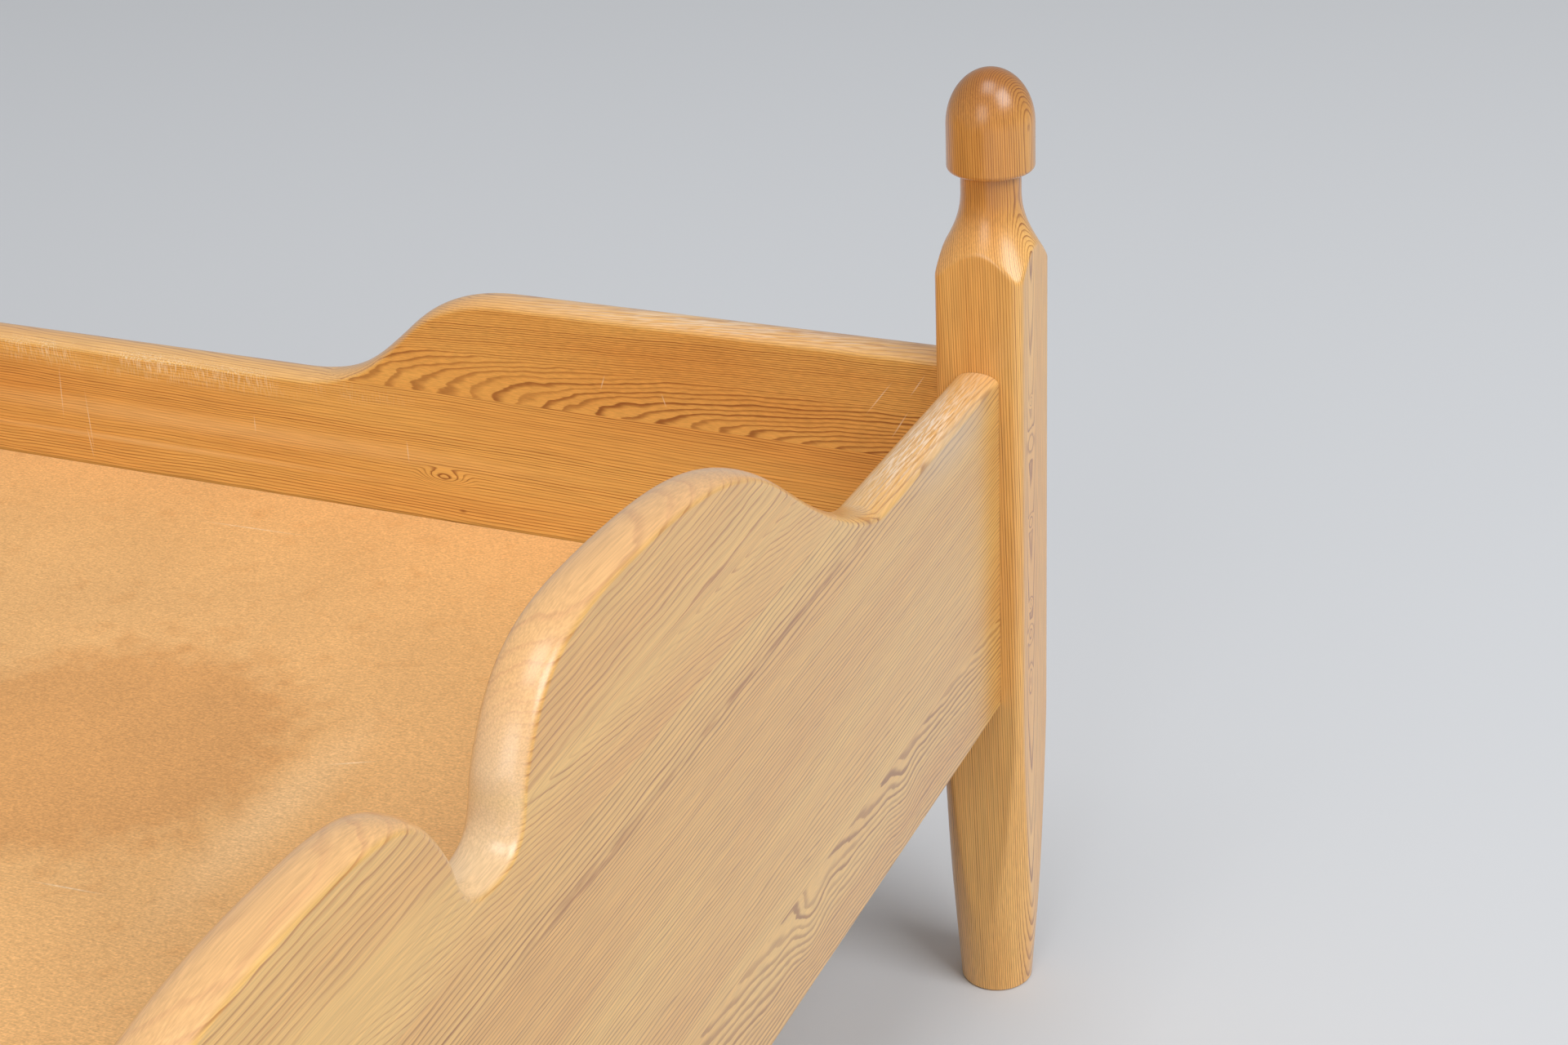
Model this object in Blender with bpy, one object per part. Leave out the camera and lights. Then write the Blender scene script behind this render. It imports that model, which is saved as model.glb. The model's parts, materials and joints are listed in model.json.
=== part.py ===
"""Pine double bed with turned corner posts, scalloped end panels and shouldered side rails.

Metres, +Z up. X runs along the bed, with the foot end at +X. Y runs across it, with
the right side, as seen from the foot end, at +Y. The origin is on the floor, in the
middle of the bed.
"""
import math

import bmesh
import bpy
from mathutils import Vector

# Main sizes
LENGTH_AXES = 2.051            # between post axes, along the bed
WIDTH_AXES = 1.450             # between post axes, across the bed
POST_SIDE = 0.063
POST_HEIGHT = 0.728
BOARD = 0.031                  # thickness of the end panels and the side rails
CLEARANCE = 0.0003             # gap between pieces that touch

# Turned post
POST_CORNER = 0.0065           # radius on the four upright arrises
FOOT_RADIUS = 0.0272
FOOT_CHAMFER = 0.0015
LEG_TOP = 0.2345               # height where the leg's taper runs out into the square's arrises
LEG_SWELL = 0.0007             # fullness of the taper
NECK_RADIUS = 0.0206
NECK_LENGTH = 0.014            # straight part of the neck under the finial
COVE_DROP = 0.061              # height of the cove between the neck and the square
COVE_OVERRUN = 0.0008          # how far the foot of the cove passes the blank's sharp corners
COVE_FALL = 0.38               # shares of the cove's height and width that shape its curve
COVE_SPREAD = 0.38
COVE_HOLLOW = 0.54
FINIAL_RADIUS = 0.0299
FINIAL_HEIGHT = 0.0695
FINIAL_DOME = 0.0375           # height of the elliptical dome on top of the finial
FINIAL_RIM = 0.004             # radius under the finial's lower edge

# End panel, with heights given at the arris between the face and the rounded edge
PANEL_BOTTOM = 0.262           # bottom edge of the end panels and of the side rails
SHOULDER = 0.5163              # top of the panels and of the rails where they meet a post
CREST = 0.647
NOTCH = 0.556
SLOPE_MIDDLE = 0.5674
NOTCH_SIDE = 0.592
CROWN = 0.0067                 # rise of the rounded edge above the arris
BOTTOM_EASE = 0.002            # easing of the two lower arrises
SHOULDER_RUN = 0.2463          # from the post axis to the foot of the hump
SLOPE_RUN = 0.350              # from the post axis to the middle of the hump's slope
SLOPE_ANGLE = 0.62
CREST_OFFSET = 0.159           # from the middle of the bed to the crest of a hump
NOTCH_SIDE_OFFSET = 0.0369
NOTCH_SIDE_ANGLE = 1.11
NOTCH_LEAD = 0.66              # leads of the sawn curve, as shares of the distance between its keys
NOTCH_SIDE_LEADS = (0.27, 0.39)
CREST_LEADS = (0.52, 0.58)
SLOPE_LEADS = (0.34, 0.56)
SHOULDER_LEAD = 0.12
PANEL_LOWER_SEAM = 0.336       # glue line between the two lower boards
PANEL_UPPER_SEAM = 0.543       # glue line under the board that carries the humps
TENON_LENGTH = 0.030
TENON_THICKNESS = 0.012
TENON_SHOULDER = 0.016         # from a board's edge to its tenon

# Side rail
RAIL_LOW = 0.4335
RAIL_SEAM = 0.4425             # glue line under the raised shoulders
RAIL_SHOULDER_RUN = 0.3798     # from the post axis to the start of the drop
RAIL_DROP_RUN = 0.470          # from the post axis to the middle of the drop
RAIL_DROP_MIDDLE = 0.4804
RAIL_DROP_ANGLE = 0.72
RAIL_LOW_RUN = 0.5797          # from the post axis to the low stretch
RAIL_LOW_LEAD = 0.476
RAIL_DROP_LEADS = (0.35, 0.19)
RAIL_SHOULDER_LEAD = 0.575

# Hook fittings between the rails and the posts
PLATE_HEIGHT = 0.110
PLATE_WIDTH = 0.018
PLATE_THICKNESS = 0.0025
PLATE_MIDDLE = 0.365           # height of the middle of the fittings
HOOK_PITCH = 0.056             # between the two hooks of a plate
HOOK_HEIGHT = 0.014
HOOK_LIP = 0.009               # how far a hook reaches down behind the slotted plate
HOOK_REACH = 0.0095
HOOK_THICKNESS = 0.003
HOOK_ROOT = 0.001              # how deep a hook is set in its plate
HOOK_EASE = 0.002              # chamfer on the hook's outer corners
SLOT_HEIGHT = 0.025
POCKET_DEPTH = 0.014           # room for the hooks behind the slotted plate
POCKET_HEIGHT = 0.098

# Bed base
BASE_TOP = 0.3326
BASE_SHEET = 0.005
BASE_EDGE_GAP = 0.0015         # play between a sheet and the wood around it
SHEET_JOINT_GAP = 0.001
SLAT_WIDTH = 0.070
SLAT_THICKNESS = 0.020
SLAT_COUNT = 9
SLAT_END_INSET = 0.065         # from the end panel to the middle of the nearest slat
SLAT_END_GAP = 0.002
BATTEN_EASE = 0.0015           # easing on the arrises of the slats and the beam
LEDGER_WIDTH = 0.028
LEDGER_BOTTOM = 0.272
LEDGER_END_GAP = 0.004         # between a ledger and the post
NOTCH_DEPTH = 0.010            # how deep the slats sit in the ledgers
BEAM_WIDTH = 0.045
BEAM_HEIGHT = 0.034
CRADLE_WIDTH = 0.095
CRADLE_DEPTH = 0.026
CENTRE_LEG_TOP_RADIUS = 0.020
CENTRE_LEG_FOOT_RADIUS = 0.015
SPIGOT_RADIUS = 0.008
SPIGOT_LENGTH = 0.016

# Screws
SCREWS_PER_LEDGER = 5
SCREW_END_INSET = 0.160        # from the post axis to the first ledger screw
SCREW_RADIUS = 0.0022
SCREW_HEAD_RADIUS = 0.0045
SCREW_HEAD_DEPTH = 0.0028
SCREW_BITE = 0.015             # length of a screw in the wood behind the piece it holds

# Facets
TURNING_STEPS = 28
DOME_STEPS = 8
RIM_STEPS = 3
COVE_STEPS = 9
LEG_STEPS = 8
CORNER_STEPS = 4
CURVE_STEPS = 8                # along each stretch of a sawn outline
EDGE_STEPS = 6                 # across a rounded edge
SCREW_STEPS = 8
SMOOTH_ANGLE = math.radians(32)
CUT_SPARE = 0.002              # how far a cutting shape passes the surface that it opens
MERGE = 1e-6

# Sizes that follow from the ones above
END_X = LENGTH_AXES / 2
SIDE_Y = WIDTH_AXES / 2
HALF_POST = POST_SIDE / 2
POST_FACE = HALF_POST + CLEARANCE               # from a post's axis to what butts against it
BLANK_REACH = HALF_POST * math.sqrt(2)          # from the axis to the blank's sharp corners
ARRIS_REACH = (HALF_POST - POST_CORNER) * math.sqrt(2) + POST_CORNER
SLAT_TOP = BASE_TOP - BASE_SHEET - CLEARANCE
SLAT_BOTTOM = SLAT_TOP - SLAT_THICKNESS
SEAT = SLAT_BOTTOM - CLEARANCE                  # what the slats lie on
LEDGER_TOP = SEAT + NOTCH_DEPTH
INNER_X = END_X - BOARD / 2                     # inner face of an end panel
INNER_Y = SIDE_Y - BOARD / 2                    # inner face of a side rail
BEAM_BOTTOM = SEAT - BEAM_HEIGHT

ENDS = ((1, "foot"), (-1, "head"))
SIDES = ((1, "right"), (-1, "left"))

# Finishes: colour, roughness and metallic value
PINE = ((0.60, 0.33, 0.12), 0.32, 0.0)
PINE_PALE = ((0.66, 0.41, 0.17), 0.35, 0.0)
DEAL = ((0.62, 0.44, 0.22), 0.60, 0.0)
FIBREBOARD = ((0.60, 0.37, 0.15), 0.55, 0.0)
STEEL = ((0.45, 0.43, 0.40), 0.38, 1.0)


def clear_scene():
    for item in list(bpy.data.objects):
        bpy.data.objects.remove(item, do_unlink=True)


def finish_material(name, finish):
    colour, roughness, metallic = finish
    material = bpy.data.materials.new(name)
    material.use_nodes = True
    shader = material.node_tree.nodes["Principled BSDF"]
    shader.inputs["Base Color"].default_value = (*colour, 1.0)
    shader.inputs["Roughness"].default_value = roughness
    shader.inputs["Metallic"].default_value = metallic
    return material


def link_mesh(name, bm):
    """Turn a bmesh into a named object whose faces point outwards."""
    bmesh.ops.recalc_face_normals(bm, faces=bm.faces)
    mesh = bpy.data.meshes.new(name)
    bm.to_mesh(mesh)
    bm.free()
    item = bpy.data.objects.new(name, mesh)
    bpy.context.collection.objects.link(item)
    return item


def make_object(name, bm, finish):
    """Make a piece of the bed, with a material of its own."""
    item = link_mesh(name, bm)
    item.data.shade_smooth()
    item.data.set_sharp_from_angle(angle=SMOOTH_ANGLE)
    item.data.materials.append(finish_material(name, finish))
    return item


def make_cutter(name, bm):
    """Make a hidden shape that only cuts, trims or extends a piece."""
    item = link_mesh(name, bm)
    item.hide_render = True
    item.display_type = "WIRE"
    return item


def combine(item, other, operation):
    modifier = item.modifiers.new(operation.lower(), "BOOLEAN")
    modifier.operation = operation
    modifier.solver = "EXACT"
    modifier.object = other


def add_box(bm, low, high):
    """Add a closed box between two opposite corners."""
    low = Vector(low)
    high = Vector(high)
    verts = bmesh.ops.create_cube(bm, size=1.0)["verts"]
    bmesh.ops.scale(bm, vec=high - low, verts=verts)
    bmesh.ops.translate(bm, vec=(low + high) / 2, verts=verts)


def box(low, high):
    bm = bmesh.new()
    add_box(bm, low, high)
    return bm


def eased_batten(low, high):
    """A planed batten with all its arrises eased."""
    bm = box(low, high)
    bmesh.ops.bevel(bm, geom=bm.edges[:], offset=BATTEN_EASE, segments=1, affect="EDGES", profile=0.5)
    return bm


def prism(outline, start, end):
    """Extrude a closed outline of 3D points by the vector from start to end."""
    bm = bmesh.new()
    face = bm.faces.new([bm.verts.new(Vector(point) + Vector(start)) for point in outline])
    moved = bmesh.ops.extrude_face_region(bm, geom=[face])["geom"]
    verts = [part for part in moved if isinstance(part, bmesh.types.BMVert)]
    bmesh.ops.translate(bm, vec=Vector(end) - Vector(start), verts=verts)
    return bm


def turned(profile, steps):
    """Turn a profile of (radius, height) points round the Z axis into a closed solid."""
    bm = bmesh.new()
    verts = [bm.verts.new((radius, 0.0, height)) for radius, height in profile]
    edges = [bm.edges.new(pair) for pair in zip(verts, verts[1:])]
    bmesh.ops.spin(bm, geom=verts + edges, cent=(0, 0, 0), axis=(0, 0, 1), angle=math.tau, steps=steps)
    bmesh.ops.remove_doubles(bm, verts=bm.verts, dist=MERGE)
    return bm


def bezier(start, start_handle, end_handle, end, steps):
    """Points of a cubic curve, without its first point."""
    points = []
    for step in range(1, steps + 1):
        t = step / steps
        s = 1 - t
        point = [s ** 3 * a + 3 * s * s * t * b + 3 * s * t * t * c + t ** 3 * d
                 for a, b, c, d in zip(start, start_handle, end_handle, end)]
        points.append(tuple(point))
    return points


def sawn_curve(keys):
    """A smooth outline through (run, height, angle, lead in, lead out) keys.

    The leads are shares of the straight distance to the neighbouring key.
    """
    points = [keys[0][:2]]
    for first, last in zip(keys, keys[1:]):
        chord = math.dist(first[:2], last[:2])
        out_reach = first[4] * chord
        in_reach = last[3] * chord
        out_handle = (first[0] + out_reach * math.cos(first[2]), first[1] + out_reach * math.sin(first[2]))
        in_handle = (last[0] - in_reach * math.cos(last[2]), last[1] - in_reach * math.sin(last[2]))
        points += bezier(first[:2], out_handle, in_handle, last[:2], CURVE_STEPS)
    return points


def mirrored(half):
    """Complete an outline that starts at the middle with its other half."""
    return [(-run, height) for run, height in reversed(half[1:])] + half


def outline_normals(points):
    """Upward unit normals along an outline, square to the chord between a point's neighbours."""
    normals = [(0.0, 1.0)]
    for before, after in zip(points, points[2:]):
        run = after[0] - before[0]
        rise = after[1] - before[1]
        length = math.hypot(run, rise)
        normals.append((-rise / length, run / length))
    return normals + [(0.0, 1.0)]


def crowned_board(outline):
    """Loft a board across its thickness: flat faces, and a rounded edge along the top outline.

    Runs lie along X and the thickness along Y.
    """
    bm = bmesh.new()
    normals = outline_normals(outline)
    layers = []
    for step in range(EDGE_STEPS + 1):
        angle = math.pi * step / EDGE_STEPS
        depth = -BOARD / 2 * math.cos(angle)
        rise = CROWN * math.sin(angle)
        layers.append([bm.verts.new((run + rise * nx, depth, height + rise * nz))
                       for (run, height), (nx, nz) in zip(outline, normals)])
    for lower, upper in zip(layers, layers[1:]):
        for corners in zip(lower, lower[1:], upper[1:], upper):
            bm.faces.new(corners)
    ends = [outline[0][0], outline[-1][0]]
    front = [bm.verts.new((run, -BOARD / 2, PANEL_BOTTOM)) for run in ends]
    back = [bm.verts.new((run, BOARD / 2, PANEL_BOTTOM)) for run in ends]
    bm.faces.new(layers[0] + [front[1], front[0]])
    bm.faces.new(layers[-1] + [back[1], back[0]])
    for end in (0, -1):
        bm.faces.new([layer[end] for layer in layers] + [back[end], front[end]])
    bm.faces.new(front + back[::-1])
    bmesh.ops.recalc_face_normals(bm, faces=bm.faces)
    arrises = [bm.edges.get(front), bm.edges.get(back)]
    bmesh.ops.bevel(bm, geom=arrises, offset=BOTTOM_EASE, segments=2, affect="EDGES", profile=0.5)
    return bm


def cut_away(bm, point, normal):
    """Saw a solid along a plane, drop what lies on the normal's side and close the cut."""
    geom = bm.verts[:] + bm.edges[:] + bm.faces[:]
    bmesh.ops.bisect_plane(bm, geom=geom, dist=MERGE, plane_co=point, plane_no=normal, clear_outer=True)
    open_edges = [edge for edge in bm.edges if edge.is_boundary]
    bmesh.ops.holes_fill(bm, edges=open_edges, sides=0)
    bmesh.ops.recalc_face_normals(bm, faces=bm.faces)


def sawn_strip(bm, low, high):
    """Keep the part of a glued-up board between two glue lines, either of which may be missing."""
    half_gap = CLEARANCE / 2
    if low is not None:
        cut_away(bm, (0, 0, low + half_gap), (0, 0, -1))
    if high is not None:
        cut_away(bm, (0, 0, high - half_gap), (0, 0, 1))
    return bm


def panel_outline():
    """Top arris of an end panel, from one post to the other."""
    keys = [
        (0.0, NOTCH, 0.0, 0.0, NOTCH_LEAD),
        (NOTCH_SIDE_OFFSET, NOTCH_SIDE, NOTCH_SIDE_ANGLE, *NOTCH_SIDE_LEADS),
        (CREST_OFFSET, CREST, 0.0, *CREST_LEADS),
        (SIDE_Y - SLOPE_RUN, SLOPE_MIDDLE, -SLOPE_ANGLE, *SLOPE_LEADS),
        (SIDE_Y - SHOULDER_RUN, SHOULDER, 0.0, SHOULDER_LEAD, 0.0),
    ]
    return mirrored(sawn_curve(keys) + [(SIDE_Y - POST_FACE, SHOULDER)])


def rail_outline():
    """Top arris of a side rail, from one post to the other."""
    keys = [
        (END_X - RAIL_LOW_RUN, RAIL_LOW, 0.0, 0.0, RAIL_LOW_LEAD),
        (END_X - RAIL_DROP_RUN, RAIL_DROP_MIDDLE, RAIL_DROP_ANGLE, *RAIL_DROP_LEADS),
        (END_X - RAIL_SHOULDER_RUN, SHOULDER, 0.0, RAIL_SHOULDER_LEAD, 0.0),
    ]
    middle = (0.0, RAIL_LOW)
    return mirrored([middle] + sawn_curve(keys) + [(END_X - POST_FACE, SHOULDER)])


def panel_tenon_spans():
    """Heights of the tenons on the two lower boards of an end panel."""
    return [(PANEL_BOTTOM + TENON_SHOULDER, PANEL_LOWER_SEAM - TENON_SHOULDER),
            (PANEL_LOWER_SEAM + TENON_SHOULDER, SHOULDER - TENON_SHOULDER)]


def finial_profile():
    """The bullet finial, from its top down to the neck."""
    dome_base = POST_HEIGHT - FINIAL_DOME
    rim_base = POST_HEIGHT - FINIAL_HEIGHT + FINIAL_RIM
    profile = [(0.0, POST_HEIGHT)]
    for step in range(1, DOME_STEPS + 1):
        angle = math.pi / 2 * step / DOME_STEPS
        profile.append((FINIAL_RADIUS * math.sin(angle), dome_base + FINIAL_DOME * math.cos(angle)))
    for step in range(RIM_STEPS + 1):
        angle = math.pi / 2 * step / RIM_STEPS
        inset = FINIAL_RIM * (1 - math.cos(angle))
        profile.append((FINIAL_RADIUS - inset, rim_base - FINIAL_RIM * math.sin(angle)))
    return profile


def cove_profile(neck_top):
    """The straight neck and the cove that spreads from it to the square."""
    neck_bottom = neck_top - NECK_LENGTH
    foot_radius = BLANK_REACH + COVE_OVERRUN
    spread = foot_radius - NECK_RADIUS
    start = (NECK_RADIUS, neck_bottom)
    fall = (NECK_RADIUS, neck_bottom - COVE_FALL * COVE_DROP)
    hollow = (NECK_RADIUS + COVE_SPREAD * spread, neck_bottom - COVE_HOLLOW * COVE_DROP)
    foot = (foot_radius, neck_bottom - COVE_DROP)
    return [(NECK_RADIUS, neck_top), start] + bezier(start, fall, hollow, foot, COVE_STEPS)


def leg_profile():
    """The tapering leg, from the square's arrises down to the foot."""
    profile = []
    for step in range(LEG_STEPS + 1):
        share = 1 - step / LEG_STEPS
        swell = LEG_SWELL * math.sin(math.pi * share)
        radius = FOOT_RADIUS + (ARRIS_REACH - FOOT_RADIUS) * share + swell
        profile.append((radius, FOOT_CHAMFER + (LEG_TOP - FOOT_CHAMFER) * share))
    return profile + [(FOOT_RADIUS - FOOT_CHAMFER, 0.0), (0.0, 0.0)]


def post_profile():
    """Profile of the turned post, from the top of the finial down to the foot."""
    cove = cove_profile(POST_HEIGHT - FINIAL_HEIGHT)
    clear_radius = cove[-1][0] + CUT_SPARE
    square = [(clear_radius, cove[-1][1] - CUT_SPARE), (clear_radius, LEG_TOP + CUT_SPARE)]
    return finial_profile() + cove + square + leg_profile()


def square_blank():
    """The square blank of a post, with its upright arrises rounded."""
    bm = box((-HALF_POST, -HALF_POST, -CUT_SPARE), (HALF_POST, HALF_POST, POST_HEIGHT + CUT_SPARE))
    upright = [edge for edge in bm.edges if abs(edge.verts[0].co.z - edge.verts[1].co.z) > POST_HEIGHT]
    bmesh.ops.bevel(bm, geom=upright, offset=POST_CORNER, segments=CORNER_STEPS, affect="EDGES", profile=0.5)
    return bm


def mortises(side):
    """Mortises for the panel's tenons, in a post's own frame."""
    bm = bmesh.new()
    thick = TENON_THICKNESS / 2 + CLEARANCE
    mouth = -side * (HALF_POST + CUT_SPARE)
    depth = -side * (POST_FACE - TENON_LENGTH - 2 * CLEARANCE)
    reach = sorted((mouth, depth))
    for low, high in panel_tenon_spans():
        add_box(bm, (-thick, reach[0], low - CLEARANCE), (thick, reach[1], high + CLEARANCE))
    return bm


def plate_housing(end, face, outwards):
    """The recess for a fitting plate, cut from a face along the bed, square to the X axis."""
    wide = PLATE_WIDTH / 2 + CLEARANCE
    tall = PLATE_HEIGHT / 2 + CLEARANCE
    mouth = end * (face - outwards * CUT_SPARE)
    floor = end * (face + outwards * (PLATE_THICKNESS + CLEARANCE))
    reach = sorted((mouth, floor))
    return box((reach[0], -wide, PLATE_MIDDLE - tall), (reach[1], wide, PLATE_MIDDLE + tall))


def hook_pocket(end):
    """Room for the hooks in the post, behind the slotted plate, in the post's own frame."""
    mouth = -end * (HALF_POST - PLATE_THICKNESS)
    depth = -end * (HALF_POST - POCKET_DEPTH)
    reach = sorted((mouth, depth))
    half_tall = POCKET_HEIGHT / 2
    return box((reach[0], -HOOK_THICKNESS, PLATE_MIDDLE - half_tall),
               (reach[1], HOOK_THICKNESS, PLATE_MIDDLE + half_tall))


def make_post(name, end, side):
    """A post turned from a square blank, with its mortises and the housing of its slotted plate."""
    post = make_object(name, turned(post_profile(), TURNING_STEPS), PINE)
    combine(post, make_cutter(name + "_blank", square_blank()), "INTERSECT")
    combine(post, make_cutter(name + "_mortises", mortises(side)), "DIFFERENCE")
    combine(post, make_cutter(name + "_housing", plate_housing(end, -HALF_POST, 1)), "DIFFERENCE")
    combine(post, make_cutter(name + "_pocket", hook_pocket(end)), "DIFFERENCE")
    for item in [post] + [modifier.object for modifier in post.modifiers]:
        item.location = (end * END_X, side * SIDE_Y, 0.0)


def panel_tenons(low, high):
    """A tenon at each end of a panel's board."""
    bm = bmesh.new()
    root = SIDE_Y - POST_FACE - TENON_SHOULDER
    tip = SIDE_Y - POST_FACE + TENON_LENGTH
    thick = TENON_THICKNESS / 2
    for reach in ((-tip, -root), (root, tip)):
        add_box(bm, (reach[0], -thick, low), (reach[1], thick, high))
    return bm


def make_panel(prefix, end):
    """The three glued boards of an end panel, with tenons on the two that meet the posts."""
    lower_span, middle_span = panel_tenon_spans()
    strips = [("lower_board", None, PANEL_LOWER_SEAM, PINE_PALE, lower_span),
              ("middle_board", PANEL_LOWER_SEAM, PANEL_UPPER_SEAM, PINE, middle_span),
              ("upper_board", PANEL_UPPER_SEAM, None, PINE_PALE, None)]
    for kind, low, high, finish, tenon_span in strips:
        name = prefix + "_panel_" + kind
        board = make_object(name, sawn_strip(crowned_board(panel_outline()), low, high), finish)
        if tenon_span:
            combine(board, make_cutter(name + "_tenons", panel_tenons(*tenon_span)), "UNION")
        for item in [board] + [modifier.object for modifier in board.modifiers]:
            item.location = (end * END_X, 0.0, 0.0)
            item.rotation_euler = (0.0, 0.0, end * math.pi / 2)


def screw_profile(held, spare):
    """Profile of a countersunk screw along Z with its head flush at zero, grown by a clearance."""
    tip = -(held + SCREW_BITE)
    return [(0.0, spare), (SCREW_HEAD_RADIUS + spare, spare), (SCREW_HEAD_RADIUS + spare, 0.0),
            (SCREW_RADIUS + spare, -SCREW_HEAD_DEPTH - spare), (SCREW_RADIUS + spare, tip + SCREW_RADIUS),
            (0.0, tip - spare)]


def screw_body(held, spare, point, way):
    """A screw, or the hole it needs, with its head at a point and its shank pointing a given way."""
    bm = turned(screw_profile(held, spare), SCREW_STEPS)
    rotation = Vector((0, 0, -1)).rotation_difference(Vector(way)).to_matrix()
    bmesh.ops.rotate(bm, cent=(0, 0, 0), matrix=rotation, verts=bm.verts)
    bmesh.ops.translate(bm, vec=point, verts=bm.verts)
    return bm


def drill(item, label, held, points, way):
    """Cut clearance holes for screws into a piece."""
    for index, point in enumerate(points):
        hole = make_cutter("%s_hole_%d" % (label, index + 1), screw_body(held, CLEARANCE, point, way))
        combine(item, hole, "DIFFERENCE")


def drive_screws(prefix, held, points, way):
    for index, point in enumerate(points):
        make_object("%s_screw_%d" % (prefix, index + 1), screw_body(held, 0.0, point, way), STEEL)


def fitting_plate(end, near, side):
    """A flat plate square to the X axis, from a distance along the bed outwards by its thickness."""
    reach = sorted((end * near, end * (near + PLATE_THICKNESS)))
    middle = side * SIDE_Y
    half_wide = PLATE_WIDTH / 2
    half_tall = PLATE_HEIGHT / 2
    return box((reach[0], middle - half_wide, PLATE_MIDDLE - half_tall),
               (reach[1], middle + half_wide, PLATE_MIDDLE + half_tall))


def hook_outline(end):
    """A hook seen from the side: a shank through the slot and a lip hanging behind the plate."""
    back = PLATE_THICKNESS + 4 * CLEARANCE
    points = [(-HOOK_ROOT, 0.0), (back, 0.0), (back, -HOOK_LIP), (HOOK_REACH - HOOK_EASE, -HOOK_LIP),
              (HOOK_REACH, HOOK_EASE - HOOK_LIP), (HOOK_REACH, HOOK_HEIGHT - HOOK_EASE),
              (HOOK_REACH - HOOK_EASE, HOOK_HEIGHT), (-HOOK_ROOT, HOOK_HEIGHT)]
    return [(end * run, 0.0, height) for run, height in points]


def hook_heights():
    """Heights of the undersides of a plate's two hooks."""
    return [PLATE_MIDDLE + shift * HOOK_PITCH / 2 - HOOK_HEIGHT / 2 for shift in (-1, 1)]


def make_fitting(prefix, end, side):
    """A hooked plate let into the rail's end and a slotted plate let into the post."""
    post_face = END_X - HALF_POST
    rail_end = END_X - POST_FACE
    middle = side * SIDE_Y
    hooked = make_object(prefix + "_hook_plate", fitting_plate(end, rail_end - PLATE_THICKNESS, side), STEEL)
    half_hook = Vector((0, HOOK_THICKNESS / 2, 0))
    for index, height in enumerate(hook_heights()):
        base = Vector((end * rail_end, middle, height))
        hook = prism(hook_outline(end), base - half_hook, base + half_hook)
        combine(hooked, make_cutter("%s_hook_%d" % (prefix, index + 1), hook), "UNION")
    slotted = make_object(prefix + "_slot_plate", fitting_plate(end, post_face, side), STEEL)
    slots = bmesh.new()
    half_slot = HOOK_THICKNESS / 2 + 2 * CLEARANCE
    reach = sorted((end * (post_face - CUT_SPARE), end * (post_face + PLATE_THICKNESS + CUT_SPARE)))
    for height in hook_heights():
        add_box(slots, (reach[0], middle - half_slot, height - CLEARANCE),
                (reach[1], middle + half_slot, height + SLOT_HEIGHT))
    combine(slotted, make_cutter(prefix + "_slots", slots), "DIFFERENCE")


def ledger_screw_points(side):
    """Places of the heads of a ledger's screws, in a row along its inner face."""
    face = side * (INNER_Y - CLEARANCE - LEDGER_WIDTH)
    height = (LEDGER_BOTTOM + SEAT) / 2
    first = END_X - SCREW_END_INSET
    step = 2 * first / (SCREWS_PER_LEDGER - 1)
    return [(first - step * index, face, height) for index in range(SCREWS_PER_LEDGER)]


def make_rail(prefix, side):
    """A side rail: one long board, a raised shoulder glued on at each end, and its hook fittings."""
    place = (0.0, side * SIDE_Y, 0.0)
    lower = make_object(prefix + "_rail_board", sawn_strip(crowned_board(rail_outline()), None, RAIL_SEAM), PINE)
    lower.location = place
    for end, label in ENDS:
        bm = sawn_strip(crowned_board(rail_outline()), RAIL_SEAM, None)
        cut_away(bm, (0, 0, 0), (-end, 0, 0))
        shoulder = make_object("%s_rail_%s_shoulder" % (prefix, label), bm, PINE_PALE)
        shoulder.location = place
        housing = make_cutter("%s_rail_%s_housing" % (prefix, label), plate_housing(end, END_X - POST_FACE, -1))
        housing.location = place
        for item in (lower, shoulder):
            combine(item, housing, "DIFFERENCE")
        make_fitting("%s_%s" % (label, prefix), end, side)
    drill(lower, prefix + "_rail", LEDGER_WIDTH + CLEARANCE, ledger_screw_points(side), (0, side, 0))


def slat_runs():
    """Places of the slats' middles along the bed."""
    first = INNER_X - SLAT_END_INSET
    step = 2 * first / (SLAT_COUNT - 1)
    return [first - step * index for index in range(SLAT_COUNT)]


def ledger_outline():
    """Side view of a ledger, with a notch for every slat."""
    half = END_X - HALF_POST - LEDGER_END_GAP
    reach = SLAT_WIDTH / 2 + 2 * CLEARANCE
    points = [(-half, LEDGER_BOTTOM), (half, LEDGER_BOTTOM), (half, LEDGER_TOP)]
    for run in slat_runs():
        points += [(run + reach, LEDGER_TOP), (run + reach, SEAT), (run - reach, SEAT), (run - reach, LEDGER_TOP)]
    points.append((-half, LEDGER_TOP))
    return [(run, 0.0, height) for run, height in points]


def make_ledger(prefix, side):
    """The notched strip inside a rail that carries the slats, with its screws."""
    outer = side * (INNER_Y - CLEARANCE)
    inner = side * (INNER_Y - CLEARANCE - LEDGER_WIDTH)
    name = prefix + "_ledger"
    ledger = make_object(name, prism(ledger_outline(), (0, inner, 0), (0, outer, 0)), DEAL)
    points = ledger_screw_points(side)
    held = LEDGER_WIDTH + CLEARANCE
    drill(ledger, name, held, points, (0, side, 0))
    drive_screws(name, held, points, (0, side, 0))


def make_slats():
    half = INNER_Y - SLAT_END_GAP
    for index, run in enumerate(slat_runs()):
        low = (run - SLAT_WIDTH / 2, -half, SLAT_BOTTOM)
        high = (run + SLAT_WIDTH / 2, half, SLAT_TOP)
        make_object("slat_%d" % (index + 1), eased_batten(low, high), DEAL)


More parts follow.
